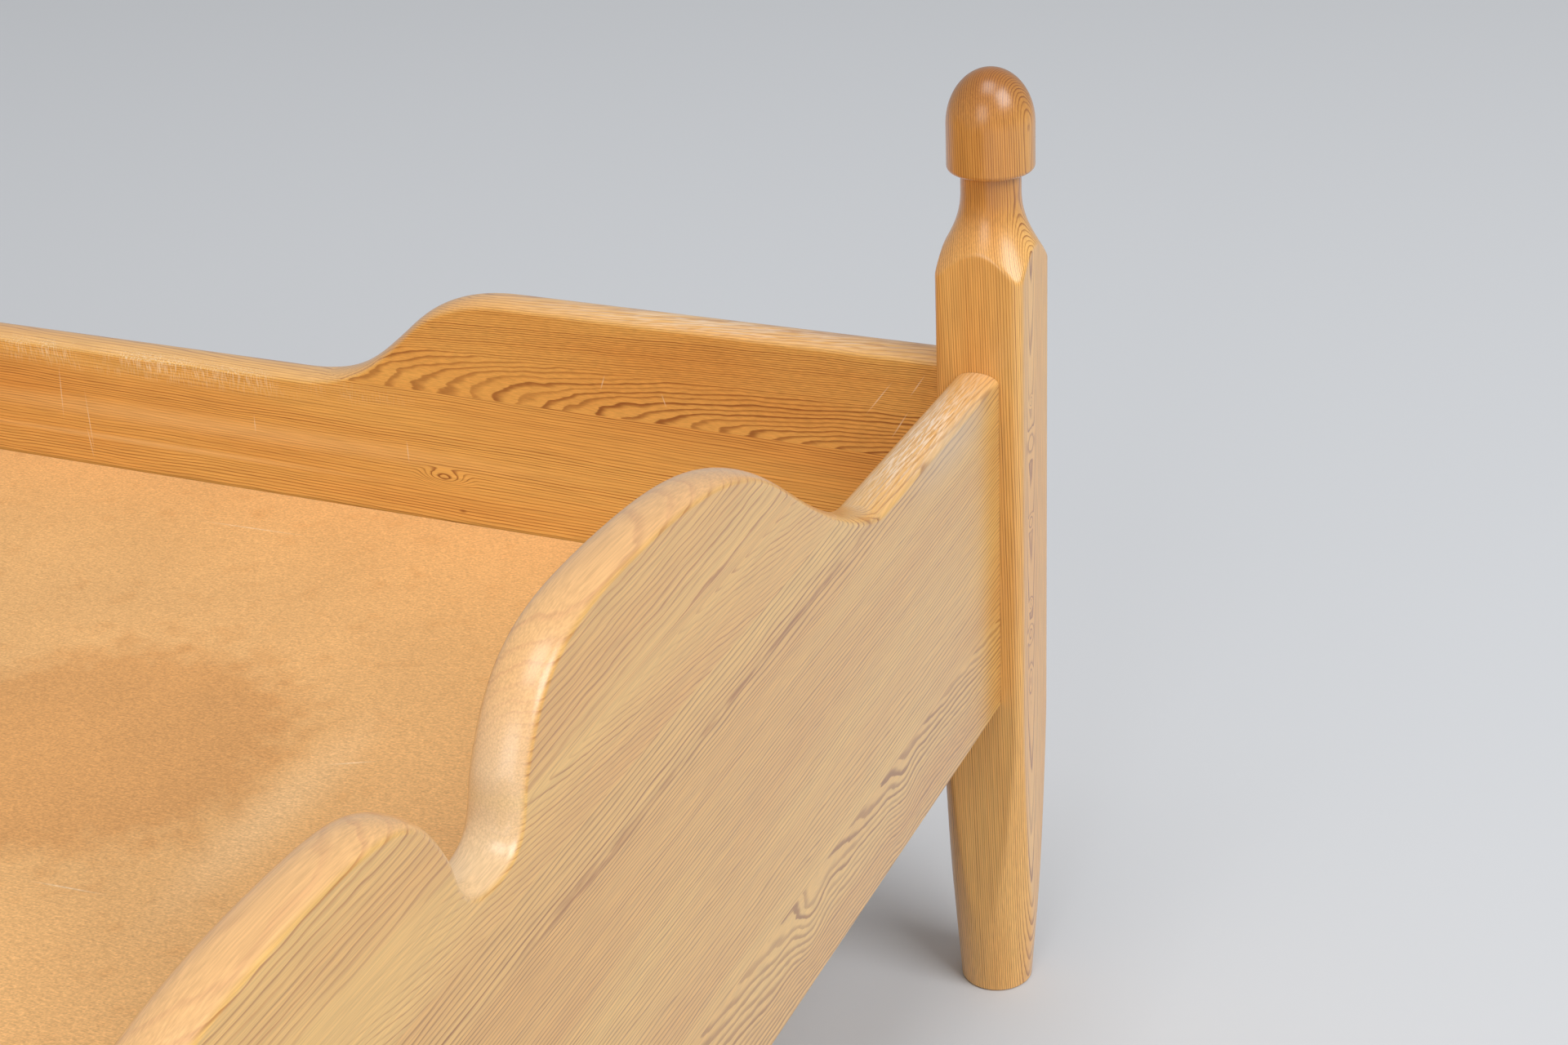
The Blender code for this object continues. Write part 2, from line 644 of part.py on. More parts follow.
def make_base_sheet(name, end):
    """Half of the fibreboard base, cut out round the two posts at its end."""
    joint = end * SHEET_JOINT_GAP / 2
    edge = end * (INNER_X - BASE_EDGE_GAP)
    side = INNER_Y - BASE_EDGE_GAP
    post_x = end * (END_X - HALF_POST - BASE_EDGE_GAP)
    post_y = SIDE_Y - HALF_POST - BASE_EDGE_GAP
    outline = [(joint, -side), (post_x, -side), (post_x, -post_y), (edge, -post_y),
               (edge, post_y), (post_x, post_y), (post_x, side), (joint, side)]
    points = [(x, y, 0.0) for x, y in outline]
    make_object(name, prism(points, (0, 0, BASE_TOP - BASE_SHEET), (0, 0, BASE_TOP)), FIBREBOARD)


def make_beam():
    """The beam under the slats, and the leg whose spigot stands in it."""
    reach = INNER_X - 4 * CLEARANCE
    half = BEAM_WIDTH / 2
    beam = make_object("middle_beam", eased_batten((-reach, -half, BEAM_BOTTOM), (reach, half, SEAT)), DEAL)
    top = BEAM_BOTTOM - CLEARANCE
    spigot_top = top + SPIGOT_LENGTH
    leg = [(0.0, spigot_top), (SPIGOT_RADIUS, spigot_top), (SPIGOT_RADIUS, top),
           (CENTRE_LEG_TOP_RADIUS, top), (CENTRE_LEG_FOOT_RADIUS, FOOT_CHAMFER),
           (CENTRE_LEG_FOOT_RADIUS - FOOT_CHAMFER, 0.0), (0.0, 0.0)]
    make_object("middle_leg", turned(leg, TURNING_STEPS), DEAL)
    bore_radius = SPIGOT_RADIUS + CLEARANCE
    bore_top = spigot_top + CLEARANCE
    bore_mouth = top - CUT_SPARE
    bore = [(0.0, bore_top), (bore_radius, bore_top), (bore_radius, bore_mouth), (0.0, bore_mouth)]
    combine(beam, make_cutter("middle_beam_bore", turned(bore, TURNING_STEPS)), "DIFFERENCE")


def cradle_outline():
    """A block with a seat for the middle beam, seen along the bed."""
    half = CRADLE_WIDTH / 2
    seat = BEAM_WIDTH / 2 + CLEARANCE
    seat_bottom = BEAM_BOTTOM - CLEARANCE
    bottom = PANEL_BOTTOM + BOTTOM_EASE
    top = SEAT - CLEARANCE
    points = [(-half, bottom), (half, bottom), (half, top), (seat, top), (seat, seat_bottom),
              (-seat, seat_bottom), (-seat, top), (-half, top)]
    return [(0.0, across, height) for across, height in points]


def cradle_screw_points(end):
    """Places of the heads of a cradle's two screws, one at each side of its seat."""
    face = end * (INNER_X - CLEARANCE - CRADLE_DEPTH)
    across = (BEAM_WIDTH + CRADLE_WIDTH) / 4
    height = (PANEL_BOTTOM + SEAT) / 2
    return [(face, side * across, height) for side in (-1, 1)]


def make_cradle(label, end):
    """The block on an end panel that holds an end of the middle beam, with its screws."""
    outer = end * (INNER_X - CLEARANCE)
    inner = end * (INNER_X - CLEARANCE - CRADLE_DEPTH)
    name = label + "_beam_cradle"
    cradle = make_object(name, prism(cradle_outline(), (inner, 0, 0), (outer, 0, 0)), DEAL)
    points = cradle_screw_points(end)
    held = CRADLE_DEPTH + CLEARANCE
    drill(cradle, name, held, points, (end, 0, 0))
    drill(bpy.data.objects[label + "_panel_lower_board"], label + "_panel", held, points, (end, 0, 0))
    drive_screws(name, held, points, (end, 0, 0))


def build():
    clear_scene()
    for end, end_name in ENDS:
        for side, side_name in SIDES:
            make_post("%s_post_%s" % (end_name, side_name), end, side)
        make_panel(end_name, end)
        make_cradle(end_name, end)
        make_base_sheet("base_sheet_" + end_name, end)
    for side, side_name in SIDES:
        make_rail(side_name, side)
        make_ledger(side_name, side)
    make_slats()
    make_beam()


build()
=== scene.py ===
# %% [markdown]
# # A lacquered pine bed
# The bed is built from turned posts, scalloped end panels and shouldered side rails, all in
# solid pine under a clear satin lacquer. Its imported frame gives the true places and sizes.
# This lesson dresses that frame: the wood that shows is modelled again with finer curves, and
# every surface gets a finish that is worked out from how the real one was made.

# %% Load the frame
import json
import math

import bmesh
import bpy
from mathutils import Matrix, Vector


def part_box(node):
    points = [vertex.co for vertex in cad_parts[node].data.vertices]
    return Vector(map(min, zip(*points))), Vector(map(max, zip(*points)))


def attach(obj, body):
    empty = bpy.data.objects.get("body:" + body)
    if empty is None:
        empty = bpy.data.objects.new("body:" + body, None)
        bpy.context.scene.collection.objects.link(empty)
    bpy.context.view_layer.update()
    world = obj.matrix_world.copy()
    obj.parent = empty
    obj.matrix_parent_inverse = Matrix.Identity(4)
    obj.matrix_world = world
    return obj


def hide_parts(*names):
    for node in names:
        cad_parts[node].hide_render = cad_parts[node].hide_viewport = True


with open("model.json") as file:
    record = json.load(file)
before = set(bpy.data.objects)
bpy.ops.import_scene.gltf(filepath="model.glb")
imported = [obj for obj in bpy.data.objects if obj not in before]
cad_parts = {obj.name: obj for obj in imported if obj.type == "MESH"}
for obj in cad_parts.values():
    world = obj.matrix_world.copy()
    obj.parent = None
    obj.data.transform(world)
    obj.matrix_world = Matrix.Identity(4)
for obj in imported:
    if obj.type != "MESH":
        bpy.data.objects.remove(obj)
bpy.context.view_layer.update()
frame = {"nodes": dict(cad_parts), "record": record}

# %% [markdown]
# ## Measures
# A piece that stands for one of the frame's nodes has to stay exactly where that node is. So the
# places come from the frame's own boxes, and only the shape of the sawn and turned outlines is
# written down here, in metres.

# %% Measures from the frame
post_low, post_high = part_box("foot_post_right")
END_X = (post_low[0] + post_high[0]) / 2
SIDE_Y = (post_low[1] + post_high[1]) / 2
HALF_POST = (post_high[0] - post_low[0]) / 2
POST_HEIGHT = post_high[2]
panel_low, panel_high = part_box("foot_panel_lower_board")
middle_low, middle_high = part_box("foot_panel_middle_board")
upper_low, upper_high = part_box("foot_panel_upper_board")
BOARD = panel_high[0] - panel_low[0]
HALF_BOARD = BOARD / 2
PANEL_BOTTOM = panel_low[2]
LOWER_JOINT = (panel_high[2] + middle_low[2]) / 2
UPPER_JOINT = (middle_high[2] + upper_low[2]) / 2
rail_low, rail_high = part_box("right_rail_foot_shoulder")
RAIL_JOINT = (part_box("right_rail_board")[1][2] + rail_low[2]) / 2
POST_GAP = END_X - rail_high[0]
BASE_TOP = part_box("base_sheet_foot")[1][2]
ENDS = ((1, "foot"), (-1, "head"))
SIDES = ((1, "right"), (-1, "left"))
print("post axis at", END_X, SIDE_Y, "board thickness", BOARD, "gap at the post", POST_GAP)
print("glue lines at", LOWER_JOINT, UPPER_JOINT, "in the panels and", RAIL_JOINT, "in the rails")

# %% [markdown]
# ## Helpers
# A few small helpers carry the whole lesson. One turns a bmesh into a finished piece that rides on
# the bed and stands for its node. One adds a shader node with its settings and links, and two more
# write a pair of numbers as the ends of a range that such a node reads or gives. One turns sRGB hex
# colours, as a colour picker gives them, into the linear values that a shader needs. The last make
# a soft spot in space, which is enough for a knot, a stain, a worn place or a scratch, and lay a
# colour over another there.

# %% A finished piece
SHARP_ANGLE = math.radians(38) # edges that turn by more than this stay crisp
MERGE = 1e-6                   # points that lie closer than this are one point


def finished_piece(name, bm, material, node):
    """Make a bmesh a piece of the bed, in place of one of the frame's nodes."""
    bmesh.ops.recalc_face_normals(bm, faces=bm.faces)
    mesh = bpy.data.meshes.new(name)
    bm.to_mesh(mesh)
    bm.free()
    mesh.shade_smooth()
    mesh.set_sharp_from_angle(angle=SHARP_ANGLE)
    mesh.materials.append(material)
    piece = bpy.data.objects.new(name, mesh)
    bpy.context.scene.collection.objects.link(piece)
    even = piece.modifiers.new("even faces", "WEIGHTED_NORMAL")
    even.keep_sharp = True
    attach(piece, "root")
    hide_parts(node)
    return piece


# %% A finish and its shader nodes
def fresh_finish(name):
    """A new material and its shader."""
    material = bpy.data.materials.new(name)
    material.use_nodes = True
    return material, material.node_tree.nodes["Principled BSDF"]


def shade(tree, kind, inputs, **settings):
    """Add a shader node: settings are its properties, inputs its links or fixed values."""
    made = tree.nodes.new("ShaderNode" + kind)
    for name, value in settings.items():
        setattr(made, name, value)
    for key, value in inputs.items():
        socket = made.inputs[key]
        if isinstance(value, bpy.types.Node):
            tree.links.new(value.outputs[0], socket)
        elif isinstance(value, bpy.types.NodeSocket):
            tree.links.new(value, socket)
        else:
            socket.default_value = value
    return made


def from_range(ends):
    """Two numbers as the ends of the range that a node reads."""
    return {"From Min": ends[0], "From Max": ends[1]}


def to_range(ends):
    """Two numbers as the ends of the range that a node gives."""
    return {"To Min": ends[0], "To Max": ends[1]}


def linear(hex_colour):
    """An sRGB hex colour as linear red, green, blue and alpha, by the numbers of the sRGB standard."""
    channels = [int(hex_colour[start:start + 2], 16) / 255 for start in (1, 3, 5)]
    return [c / 12.92 if c <= 0.04045 else ((c + 0.055) / 1.055) ** 2.4 for c in channels] + [1.0]


# %% A soft spot
UP = (0, 0, 1)
FADING = (1.0, 0.0)            # a mask that goes from all to nothing
MIX_SHARE = 0                  # sockets of a Mix node that mixes colours
MIX_UNDER = 6
MIX_OVER = 7
MIXED = 2


def centred(tree, centre, along=UP, reach=(1, 1, 1)):
    """Coordinates with their zero at a centre, their Z axis along a line and a reach as their unit."""
    turn = Vector(UP).rotation_difference(Vector(along)).to_euler()
    place = shade(tree, "TexCoord", {}).outputs["Object"]
    return shade(tree, "Mapping", {"Vector": place, "Location": centre, "Rotation": turn, "Scale": reach},
                 vector_type="TEXTURE")


def spot(tree, centre, reach, along=UP):
    """A mask that is 1 at a centre and fades to 0 at the ends of an ellipsoid's half axes."""
    away = shade(tree, "VectorMath", {0: centred(tree, centre, along, reach)}, operation="LENGTH")
    return shade(tree, "MapRange", {"Value": away.outputs["Value"], **to_range(FADING)},
                 interpolation_type="SMOOTHSTEP")


def tint(tree, mask, colour, tone, blend="MIX"):
    """Lay a tone, which is a hex colour and its share, over another colour where a mask says so."""
    hex_colour, share = tone
    amount = shade(tree, "Math", {0: mask, 1: share}, operation="MULTIPLY")
    mixed = shade(tree, "Mix", {MIX_SHARE: amount, MIX_UNDER: colour, MIX_OVER: linear(hex_colour)},
                  data_type="RGBA", blend_type=blend)
    return mixed.outputs[MIXED]


# %% [markdown]
# ## Lacquered pine
# Pine grows in rings: each year a wide pale band of early wood and a narrow brown band of late
# wood. A board is a slice through that log, so its figure is the slice through the rings. Painting
# lines on each face would never meet at the edges. Instead the finish holds the log itself: a
# pith line in space, and rings at their true spacing round it. A board cut beside the pith then
# shows straight lines, one cut across the rings shows pointed arches, and they run on round the
# edges by themselves.

# %% The log inside a board
SWAY = (0.030, 0.16, 5.0)      # slow bends in the rings: amount, size across the grain, stretch along it
RIPPLE = (0.0035, 0.020, 3.2)  # small waves in the rings, given in the same way


def stretched_noise(tree, log, size, stretch):
    """Noise whose patches have a size across the grain and are drawn out along it, which is Z."""
    drawn = shade(tree, "Mapping", {"Vector": log, "Scale": (1, 1, 1 / stretch)})
    return shade(tree, "TexNoise", {"Vector": drawn, "Scale": 1 / size})


def ring_distance(tree, log, bends):
    """Distance from the pith, which is the log's Z axis, bent as real rings are."""
    flat = shade(tree, "VectorMath", {0: log, 1: (1, 1, 0)}, operation="MULTIPLY")
    distance = shade(tree, "VectorMath", {0: flat}, operation="LENGTH").outputs["Value"]
    for amount, size, stretch in bends:
        wave = stretched_noise(tree, log, size, stretch)
        distance = shade(tree, "Math", {0: wave, 1: amount, 2: distance}, operation="MULTIPLY_ADD")
    return distance


def swelled(tree, distance, centre, reach, amount):
    """Rings that are pushed aside round a spot."""
    near = spot(tree, centre, reach)
    return shade(tree, "Math", {0: near, 1: amount, 2: distance}, operation="MULTIPLY_ADD")


# %% Years of growth
YEARS_APART = 1.6              # how far good and bad years shift the rings, in rings
ZONE_LENGTH = 0.022            # width of a run of years with strong or with weak late wood
ZONE_RANGE = (0.30, 0.62)
WEAK_ZONE = 0.45
WEAK_YEAR = 0.50
FEATHER = 0.22                 # fraying of a ring's edge, in rings
FEATHER_SIZE = (0.0016, 14.0)  # size and stretch of its frays
LATE_RISE = (0.50, 0.90)       # share of the year in which the wood darkens
LATE_FALL = (0.92, 1.0)        # and in which it turns pale again


def late_wood(tree, log, distance, ring, rise, weak_zone):
    """How dark the rings are: a rise late in each year and a sharp end, no two years alike."""
    uneven = shade(tree, "TexNoise", {"W": distance, "Scale": 1 / ZONE_LENGTH}, noise_dimensions="1D")
    years = shade(tree, "Math", {0: distance, 1: ring}, operation="DIVIDE")
    years = shade(tree, "Math", {0: uneven, 1: YEARS_APART, 2: years}, operation="MULTIPLY_ADD")
    frayed = stretched_noise(tree, log, *FEATHER_SIZE)
    years = shade(tree, "Math", {0: frayed, 1: FEATHER, 2: years}, operation="MULTIPLY_ADD")
    season = shade(tree, "Math", {0: years}, operation="FRACT")
    year = shade(tree, "Math", {0: years}, operation="FLOOR")
    darker = shade(tree, "MapRange", {"Value": season, **from_range(rise)}, interpolation_type="SMOOTHSTEP")
    fall = shade(tree, "MapRange", {"Value": season, **from_range(LATE_FALL), **to_range(FADING)})
    band = shade(tree, "Math", {0: darker, 1: fall}, operation="MULTIPLY")
    chance = shade(tree, "TexWhiteNoise", {"W": year}, noise_dimensions="1D")
    strength = shade(tree, "MapRange", {"Value": chance, "To Min": WEAK_YEAR})
    zone = shade(tree, "MapRange", {"Value": uneven, **from_range(ZONE_RANGE), "To Min": weak_zone})
    strength = shade(tree, "Math", {0: strength, 1: zone}, operation="MULTIPLY")
    return shade(tree, "Math", {0: band, 1: strength}, operation="MULTIPLY")


# %% Edges that hands and bedding have rubbed for years, with painted light from above on their crowns
# the crowns' paler colour: partly rubbed wear, partly painted light from above that makes the tops lighter
CROWN_WEAR_AND_TOP_LIGHT_COLOUR = "#E4B27E"
CROWN_RANGE = (0.50, 0.95)    # how squarely a face looks to a broad side where it is all crown, and where it is none
WORN_COLOUR = "#F6E3CB"        # dry fibre where the lacquer has worn through
WORN_FIBRE = (0.0010, 22.0)
WORN_RANGE = (0.46, 0.60)


def edge_mask(tree, broad_side):
    """A mask of a board's edges: 0 on its broad sides, which face along an axis, and 1 on its crown."""
    normal = shade(tree, "NewGeometry", {}).outputs["Normal"]
    facing = shade(tree, "VectorMath", {0: normal, 1: broad_side}, operation="DOT_PRODUCT")
    facing = shade(tree, "Math", {0: facing.outputs["Value"]}, operation="ABSOLUTE")
    return shade(tree, "MapRange", {"Value": facing, **from_range(CROWN_RANGE), **to_range(FADING)},
                 interpolation_type="SMOOTHSTEP")


def worn_edge(tree, log, colour, centre, reach, share):
    """Dry, pale fibre on a part of a piece where the lacquer has gone."""
    fibre = stretched_noise(tree, log, *WORN_FIBRE)
    bare = shade(tree, "MapRange", {"Value": fibre, **from_range(WORN_RANGE)})
    mask = shade(tree, "Math", {0: bare, 1: spot(tree, centre, reach)}, operation="MULTIPLY")
    return tint(tree, mask, colour, (WORN_COLOUR, share))


# %% The wood and the lacquer over it
WARM_PATCHES = (0.05, 8.0)     # size and stretch of the places where the wood is warmer
WARM_RANGE = (0.35, 0.70)
WARM_SHARE = 0.75
NOISE_SPAN = (0.3, 0.7)        # most of a noise lies in this range
FIBRE = (0.0009, 40.0)         # real fibres are far finer, too fine to show
SILK = (0.86, 1.10)            # how much the fibres darken and brighten the wood
WOOD_ROUGHNESS = 0.34
GLOSS_SPREAD = (-0.06, 0.08)   # how much the fibres change that
RELIEF = 0.0004                # how deep the lacquer sinks into the soft early wood
RELIEF_STRENGTH = 0.10
WOOD_SPECULAR = 0.3            # the wood under the lacquer is duller than the lacquer
LACQUER_IOR = 1.5
LACQUER_COAT = 0.9
LACQUER_ROUGHNESS = 0.27


def pine(name, pith, along, ring, early, warm, late, bends=(SWAY, RIPPLE), rise=LATE_RISE, weak_zone=WEAK_ZONE,
         roughness=WOOD_ROUGHNESS, coat=LACQUER_COAT, rubbed=None, bend=None, stain=None):
    """Planed pine under a thin satin lacquer: brown rings, a silky fibre and a soft gloss."""
    material, shader = fresh_finish(name)
    tree = material.node_tree
    log = centred(tree, pith, along)
    distance = ring_distance(tree, log, bends)
    if bend:
        distance = bend(tree, log, distance)
    dark = late_wood(tree, log, distance, ring, rise, weak_zone)
    patches = stretched_noise(tree, log, *WARM_PATCHES)
    warmth = shade(tree, "MapRange", {"Value": patches, **from_range(WARM_RANGE)})
    colour = tint(tree, warmth, linear(early), (warm, WARM_SHARE))
    colour = tint(tree, dark, colour, (late, 1.0))
    # a paler colour over the crowns: partly rubbed wear, partly painted light from above
    if rubbed:
        share, broad_side = rubbed
        colour = tint(tree, edge_mask(tree, broad_side), colour, (CROWN_WEAR_AND_TOP_LIGHT_COLOUR, share))
    if stain:
        colour = stain(tree, log, distance, dark, colour)
    fibre = stretched_noise(tree, log, *FIBRE)
    silk = shade(tree, "MapRange", {"Value": fibre, **from_range(NOISE_SPAN), **to_range(SILK)})
    colour = shade(tree, "VectorMath", {0: colour, "Scale": silk.outputs[0]}, operation="SCALE")
    tree.links.new(colour.outputs[0], shader.inputs["Base Color"])
    spread = [roughness + change for change in GLOSS_SPREAD]
    gloss = shade(tree, "MapRange", {"Value": fibre, **to_range(spread)})
    tree.links.new(gloss.outputs[0], shader.inputs["Roughness"])
    relief = shade(tree, "Math", {0: dark, 1: fibre}, operation="ADD")
    bump = shade(tree, "Bump", {"Height": relief, "Strength": RELIEF_STRENGTH, "Distance": RELIEF})
    tree.links.new(bump.outputs[0], shader.inputs["Normal"])
    shader.inputs["IOR"].default_value = LACQUER_IOR
    shader.inputs["Specular IOR Level"].default_value = WOOD_SPECULAR
    shader.inputs["Coat Weight"].default_value = coat
    shader.inputs["Coat Roughness"].default_value = LACQUER_ROUGHNESS
    return material


# %% [markdown]
# ## Corner posts
# Each post is turned on a lathe from a square blank. Where the cutter doesn't reach, the square
# faces stay, and they end in the rounded arches above and the long tongues below that make this
# post what it is. A boolean of a turned form and a square gives hard, fussy edges. So the profile
# is spun, and then every point that stands out past the square is drawn in to it, with a small
# softness that a worn, sanded ridge has.

# %% The post's profile
POST_CORNER = 0.0065
FOOT_RADIUS = 0.0272
FOOT_CHAMFER = 0.0015
LEG_TOP = 0.2345
LEG_SWELL = 0.0007
NECK_RADIUS = 0.0206
NECK_LENGTH = 0.014
COVE_DROP = 0.061
COVE_FALL = 0.38
COVE_SPREAD = 0.38
COVE_HOLLOW = 0.54
COVE_CLEAR = 0.0008            # how far outside the blank's corners the cove ends
FINIAL_RADIUS = 0.0299
FINIAL_HEIGHT = 0.0695
FINIAL_DOME = 0.0375
FINIAL_RIM = 0.004
PASS_BY = 0.002                # how far the profile passes the square where the square stays
DOME_STEPS = 24
RIM_STEPS = 6
LONG_STEPS = 64
ARRIS_REACH = (HALF_POST - POST_CORNER) * math.sqrt(2) + POST_CORNER
BLANK_REACH = HALF_POST * math.sqrt(2) + COVE_CLEAR
NECK_TOP = POST_HEIGHT - FINIAL_HEIGHT
NECK_BOTTOM = NECK_TOP - NECK_LENGTH


def bezier(start, start_handle, end_handle, end, steps):
    """Points of a cubic curve, without its first point."""
    points = []
    for step in range(1, steps + 1):
        t = step / steps
        s = 1 - t
        points.append(tuple(s ** 3 * a + 3 * s * s * t * b + 3 * s * t * t * c + t ** 3 * d
                            for a, b, c, d in zip(start, start_handle, end_handle, end)))
    return points


def post_profile():
    """Radius and height from the top of the finial down to the foot."""
    profile = [(0.0, POST_HEIGHT)]
    for step in range(1, DOME_STEPS + 1):
        angle = math.pi / 2 * step / DOME_STEPS
        fall = FINIAL_DOME * (1 - math.cos(angle))
        profile.append((FINIAL_RADIUS * math.sin(angle), POST_HEIGHT - fall))
    for step in range(RIM_STEPS + 1):
        angle = math.pi / 2 * step / RIM_STEPS
        profile.append((FINIAL_RADIUS - FINIAL_RIM * (1 - math.cos(angle)),
                        NECK_TOP + FINIAL_RIM * (1 - math.sin(angle))))
    spread = BLANK_REACH - NECK_RADIUS
    start = (NECK_RADIUS, NECK_BOTTOM)
    fall = (NECK_RADIUS, NECK_BOTTOM - COVE_FALL * COVE_DROP)
    hollow = (NECK_RADIUS + COVE_SPREAD * spread, NECK_BOTTOM - COVE_HOLLOW * COVE_DROP)
    foot = (BLANK_REACH, NECK_BOTTOM - COVE_DROP)
    profile += [(NECK_RADIUS, NECK_TOP), start] + bezier(start, fall, hollow, foot, LONG_STEPS)
    profile += [(BLANK_REACH + PASS_BY, foot[1] - PASS_BY), (BLANK_REACH + PASS_BY, LEG_TOP + PASS_BY)]
    for step in range(LONG_STEPS + 1):
        share = 1 - step / LONG_STEPS
        swell = LEG_SWELL * math.sin(math.pi * share)
        profile.append((FOOT_RADIUS + (ARRIS_REACH - FOOT_RADIUS) * share + swell,
                        FOOT_CHAMFER + (LEG_TOP - FOOT_CHAMFER) * share))
    return profile + [(FOOT_RADIUS - FOOT_CHAMFER, 0.0), (0.0, 0.0)]


print("post profile:", len(post_profile()), "points")

# %% Spin it and draw it in to the square
RIDGE_SOFTNESS = 0.0012
TURNING_STEPS = 180


def square_reach(angle):
    """Distance from the axis to the square blank with rounded arrises, at an angle round it."""
    wide = max(abs(math.cos(angle)), abs(math.sin(angle)))
    narrow = min(abs(math.cos(angle)), abs(math.sin(angle)))
    flat = HALF_POST - POST_CORNER
    if HALF_POST * narrow / wide <= flat:
        return HALF_POST / wide
    both = flat * (wide + narrow)
    return both + math.sqrt(both * both - 2 * flat * flat + POST_CORNER * POST_CORNER)


def soft_least(first, second, softness):
    """The lesser of two lengths, rounded off where they are nearly equal."""
    near = max(softness - abs(first - second), 0.0) / softness
    return min(first, second) - near * near * softness / 4


def make_post(name, end, side, material):
    """A turned post, with the flat faces of the square blank where the cutter doesn't reach."""
    bm = bmesh.new()
    verts = [bm.verts.new((radius, 0, height)) for radius, height in post_profile()]
    edges = [bm.edges.new(pair) for pair in zip(verts, verts[1:])]
    bmesh.ops.spin(bm, geom=verts + edges, cent=(0, 0, 0), axis=UP, angle=math.tau,
                   steps=TURNING_STEPS, use_merge=True)
    bmesh.ops.remove_doubles(bm, verts=bm.verts, dist=MERGE)
    for vert in bm.verts:
        radius = math.hypot(vert.co.x, vert.co.y)
        if radius > MERGE:
            reach = square_reach(math.atan2(vert.co.y, vert.co.x))
            draw_in = soft_least(radius, reach, RIDGE_SOFTNESS) / radius
            vert.co.x *= draw_in
            vert.co.y *= draw_in
    bmesh.ops.translate(bm, vec=(end * END_X, side * SIDE_Y, 0), verts=bm.verts)
    return finished_piece(name + "_turned", bm, material, name)


# %% [markdown]
# The heart of the log lies just outside the post, beyond its outer end face and leaning towards it.
# So the faces across the bed show fine straight lines, and the outer end face shows the rings side on:
# a pale column with small eyes and arrow heads where a ring just breaks the surface. Lacquer sinks
# deeper into the end grain of the finial, which leaves it darker and redder than the shaft, and the rim
# of the foot is rubbed dry.

# %% Wood of the posts
POST_WOOD = {
    "ring": 0.0016,
    "early": "#EDB666",
    "warm": "#DF9A4A",
    "late": "#8C4A16",
    "bends": ((0.005, 0.10, 8.0), (0.0012, 0.012, 9.0)),
    "rise": (0.50, 0.91),
    "weak_zone": 0.7,
}
POST_PITH = 0.062              # from the post axis outwards to the pith, at the floor
POST_LEAN = 0.03               # how much nearer the pith comes with each metre of height
EYES_OFFSET = 0.0104           # from the post axis to the column of eyes, towards the bed's middle
EYE_SWELL = 0.0034
EYES = [                       # height, half width and half height of each eye
    (0.497, 0.005, 0.007),
    (0.466, 0.011, 0.018),
    (0.404, 0.008, 0.010),
    (0.338, 0.006, 0.008),
    (0.314, 0.009, 0.014),
    (0.275, 0.007, 0.020),
]
FINIAL_TINT = ("#E6D8BE", 1.0)
END_GRAIN_TINT = ("#CDBFAC", 1.0)
FOOT_WEAR = 0.012              # height of the dry rim at the foot
FOOT_WORN = 0.6                # share of dry fibre there


def height_mask(tree, low, high):
    """A mask that goes from 0 at one height to 1 at another."""
    place = shade(tree, "TexCoord", {}).outputs["Object"]
    height = shade(tree, "SeparateXYZ", {"Vector": place}).outputs["Z"]
    return shade(tree, "MapRange", {"Value": height, **from_range((low, high))},
                 interpolation_type="SMOOTHSTEP")


def post_pine(name, end, side):
    """Straight-grained pine with a column of eyes on the outer end face and a darker finial."""
    column_y = side * (SIDE_Y - EYES_OFFSET)

    def eyes(tree, log, distance):
        for height, half_width, half_height in EYES:
            place = (end * (END_X + HALF_POST), column_y, height)
            distance = swelled(tree, distance, place, (half_width, half_width, half_height), EYE_SWELL)
        return distance

    def darker_finial(tree, log, distance, dark, colour):
        turned = height_mask(tree, NECK_BOTTOM - COVE_DROP / 2, NECK_BOTTOM)
        colour = tint(tree, turned, colour, FINIAL_TINT, "MULTIPLY")
        crown = height_mask(tree, POST_HEIGHT - FINIAL_DOME, POST_HEIGHT)
        colour = tint(tree, crown, colour, END_GRAIN_TINT, "MULTIPLY")
        foot = (end * END_X, side * SIDE_Y, 0.0)
        return worn_edge(tree, log, colour, foot, (HALF_POST, HALF_POST, FOOT_WEAR), FOOT_WORN)

    pith = (end * (END_X + POST_PITH), column_y, 0.0)
    return pine(name, pith, (-POST_LEAN * end, 0.0, 1.0), bend=eyes, stain=darker_finial, **POST_WOOD)


# %% Make the posts
for end, end_name in ENDS:
    for side, side_name in SIDES:
        name = "%s_post_%s" % (end_name, side_name)
        post = make_post(name, end, side, post_pine(name + "_pine", end, side))
print("posts:", len(post.data.vertices), "points each")

# %% [markdown]
# ## Boards with a rounded edge
# The end panels and the rails are boards with a sawn top edge that is rounded over. Such a board is
# a short section carried along its length: up one face, over the crown, down the other face. So a row
# of points along the bottom edge is extruded step by step round the section, and closed at the
# ends.

# %% A sawn outline
CURVE_STEPS = 26


def handle(key, reach):
    """The point at a reach from a key of an outline, along its angle."""
    run, height, angle = key[:3]
    return run + reach * math.cos(angle), height + reach * math.sin(angle)


def sawn_curve(keys):
    """A smooth outline through (run, height, angle, lead in, lead out) keys."""
    points = [keys[0][:2]]
    for first, last in zip(keys, keys[1:]):
        start = first[:2]
        end = last[:2]
        chord = math.dist(start, end)
        out_handle = handle(first, first[-1] * chord)
        in_handle = handle(last, -last[-2] * chord)
        points += bezier(start, out_handle, in_handle, end, CURVE_STEPS)
    return points


def joined_halves(left, right):
    """One outline from two halves that both run outwards from the middle, the left one turned over."""
    return [(-run, height) for run, height in reversed(left[1:])] + right


def outline_normals(points):
    """The way that each point of an outline looks outwards, straight up at its ends."""
    normals = [(0.0, 1.0)]
    for before, after in zip(points, points[2:]):
        length = math.dist(before, after)
        normals.append((-(after[1] - before[1]) / length, (after[0] - before[0]) / length))
    return normals + [(0.0, 1.0)]


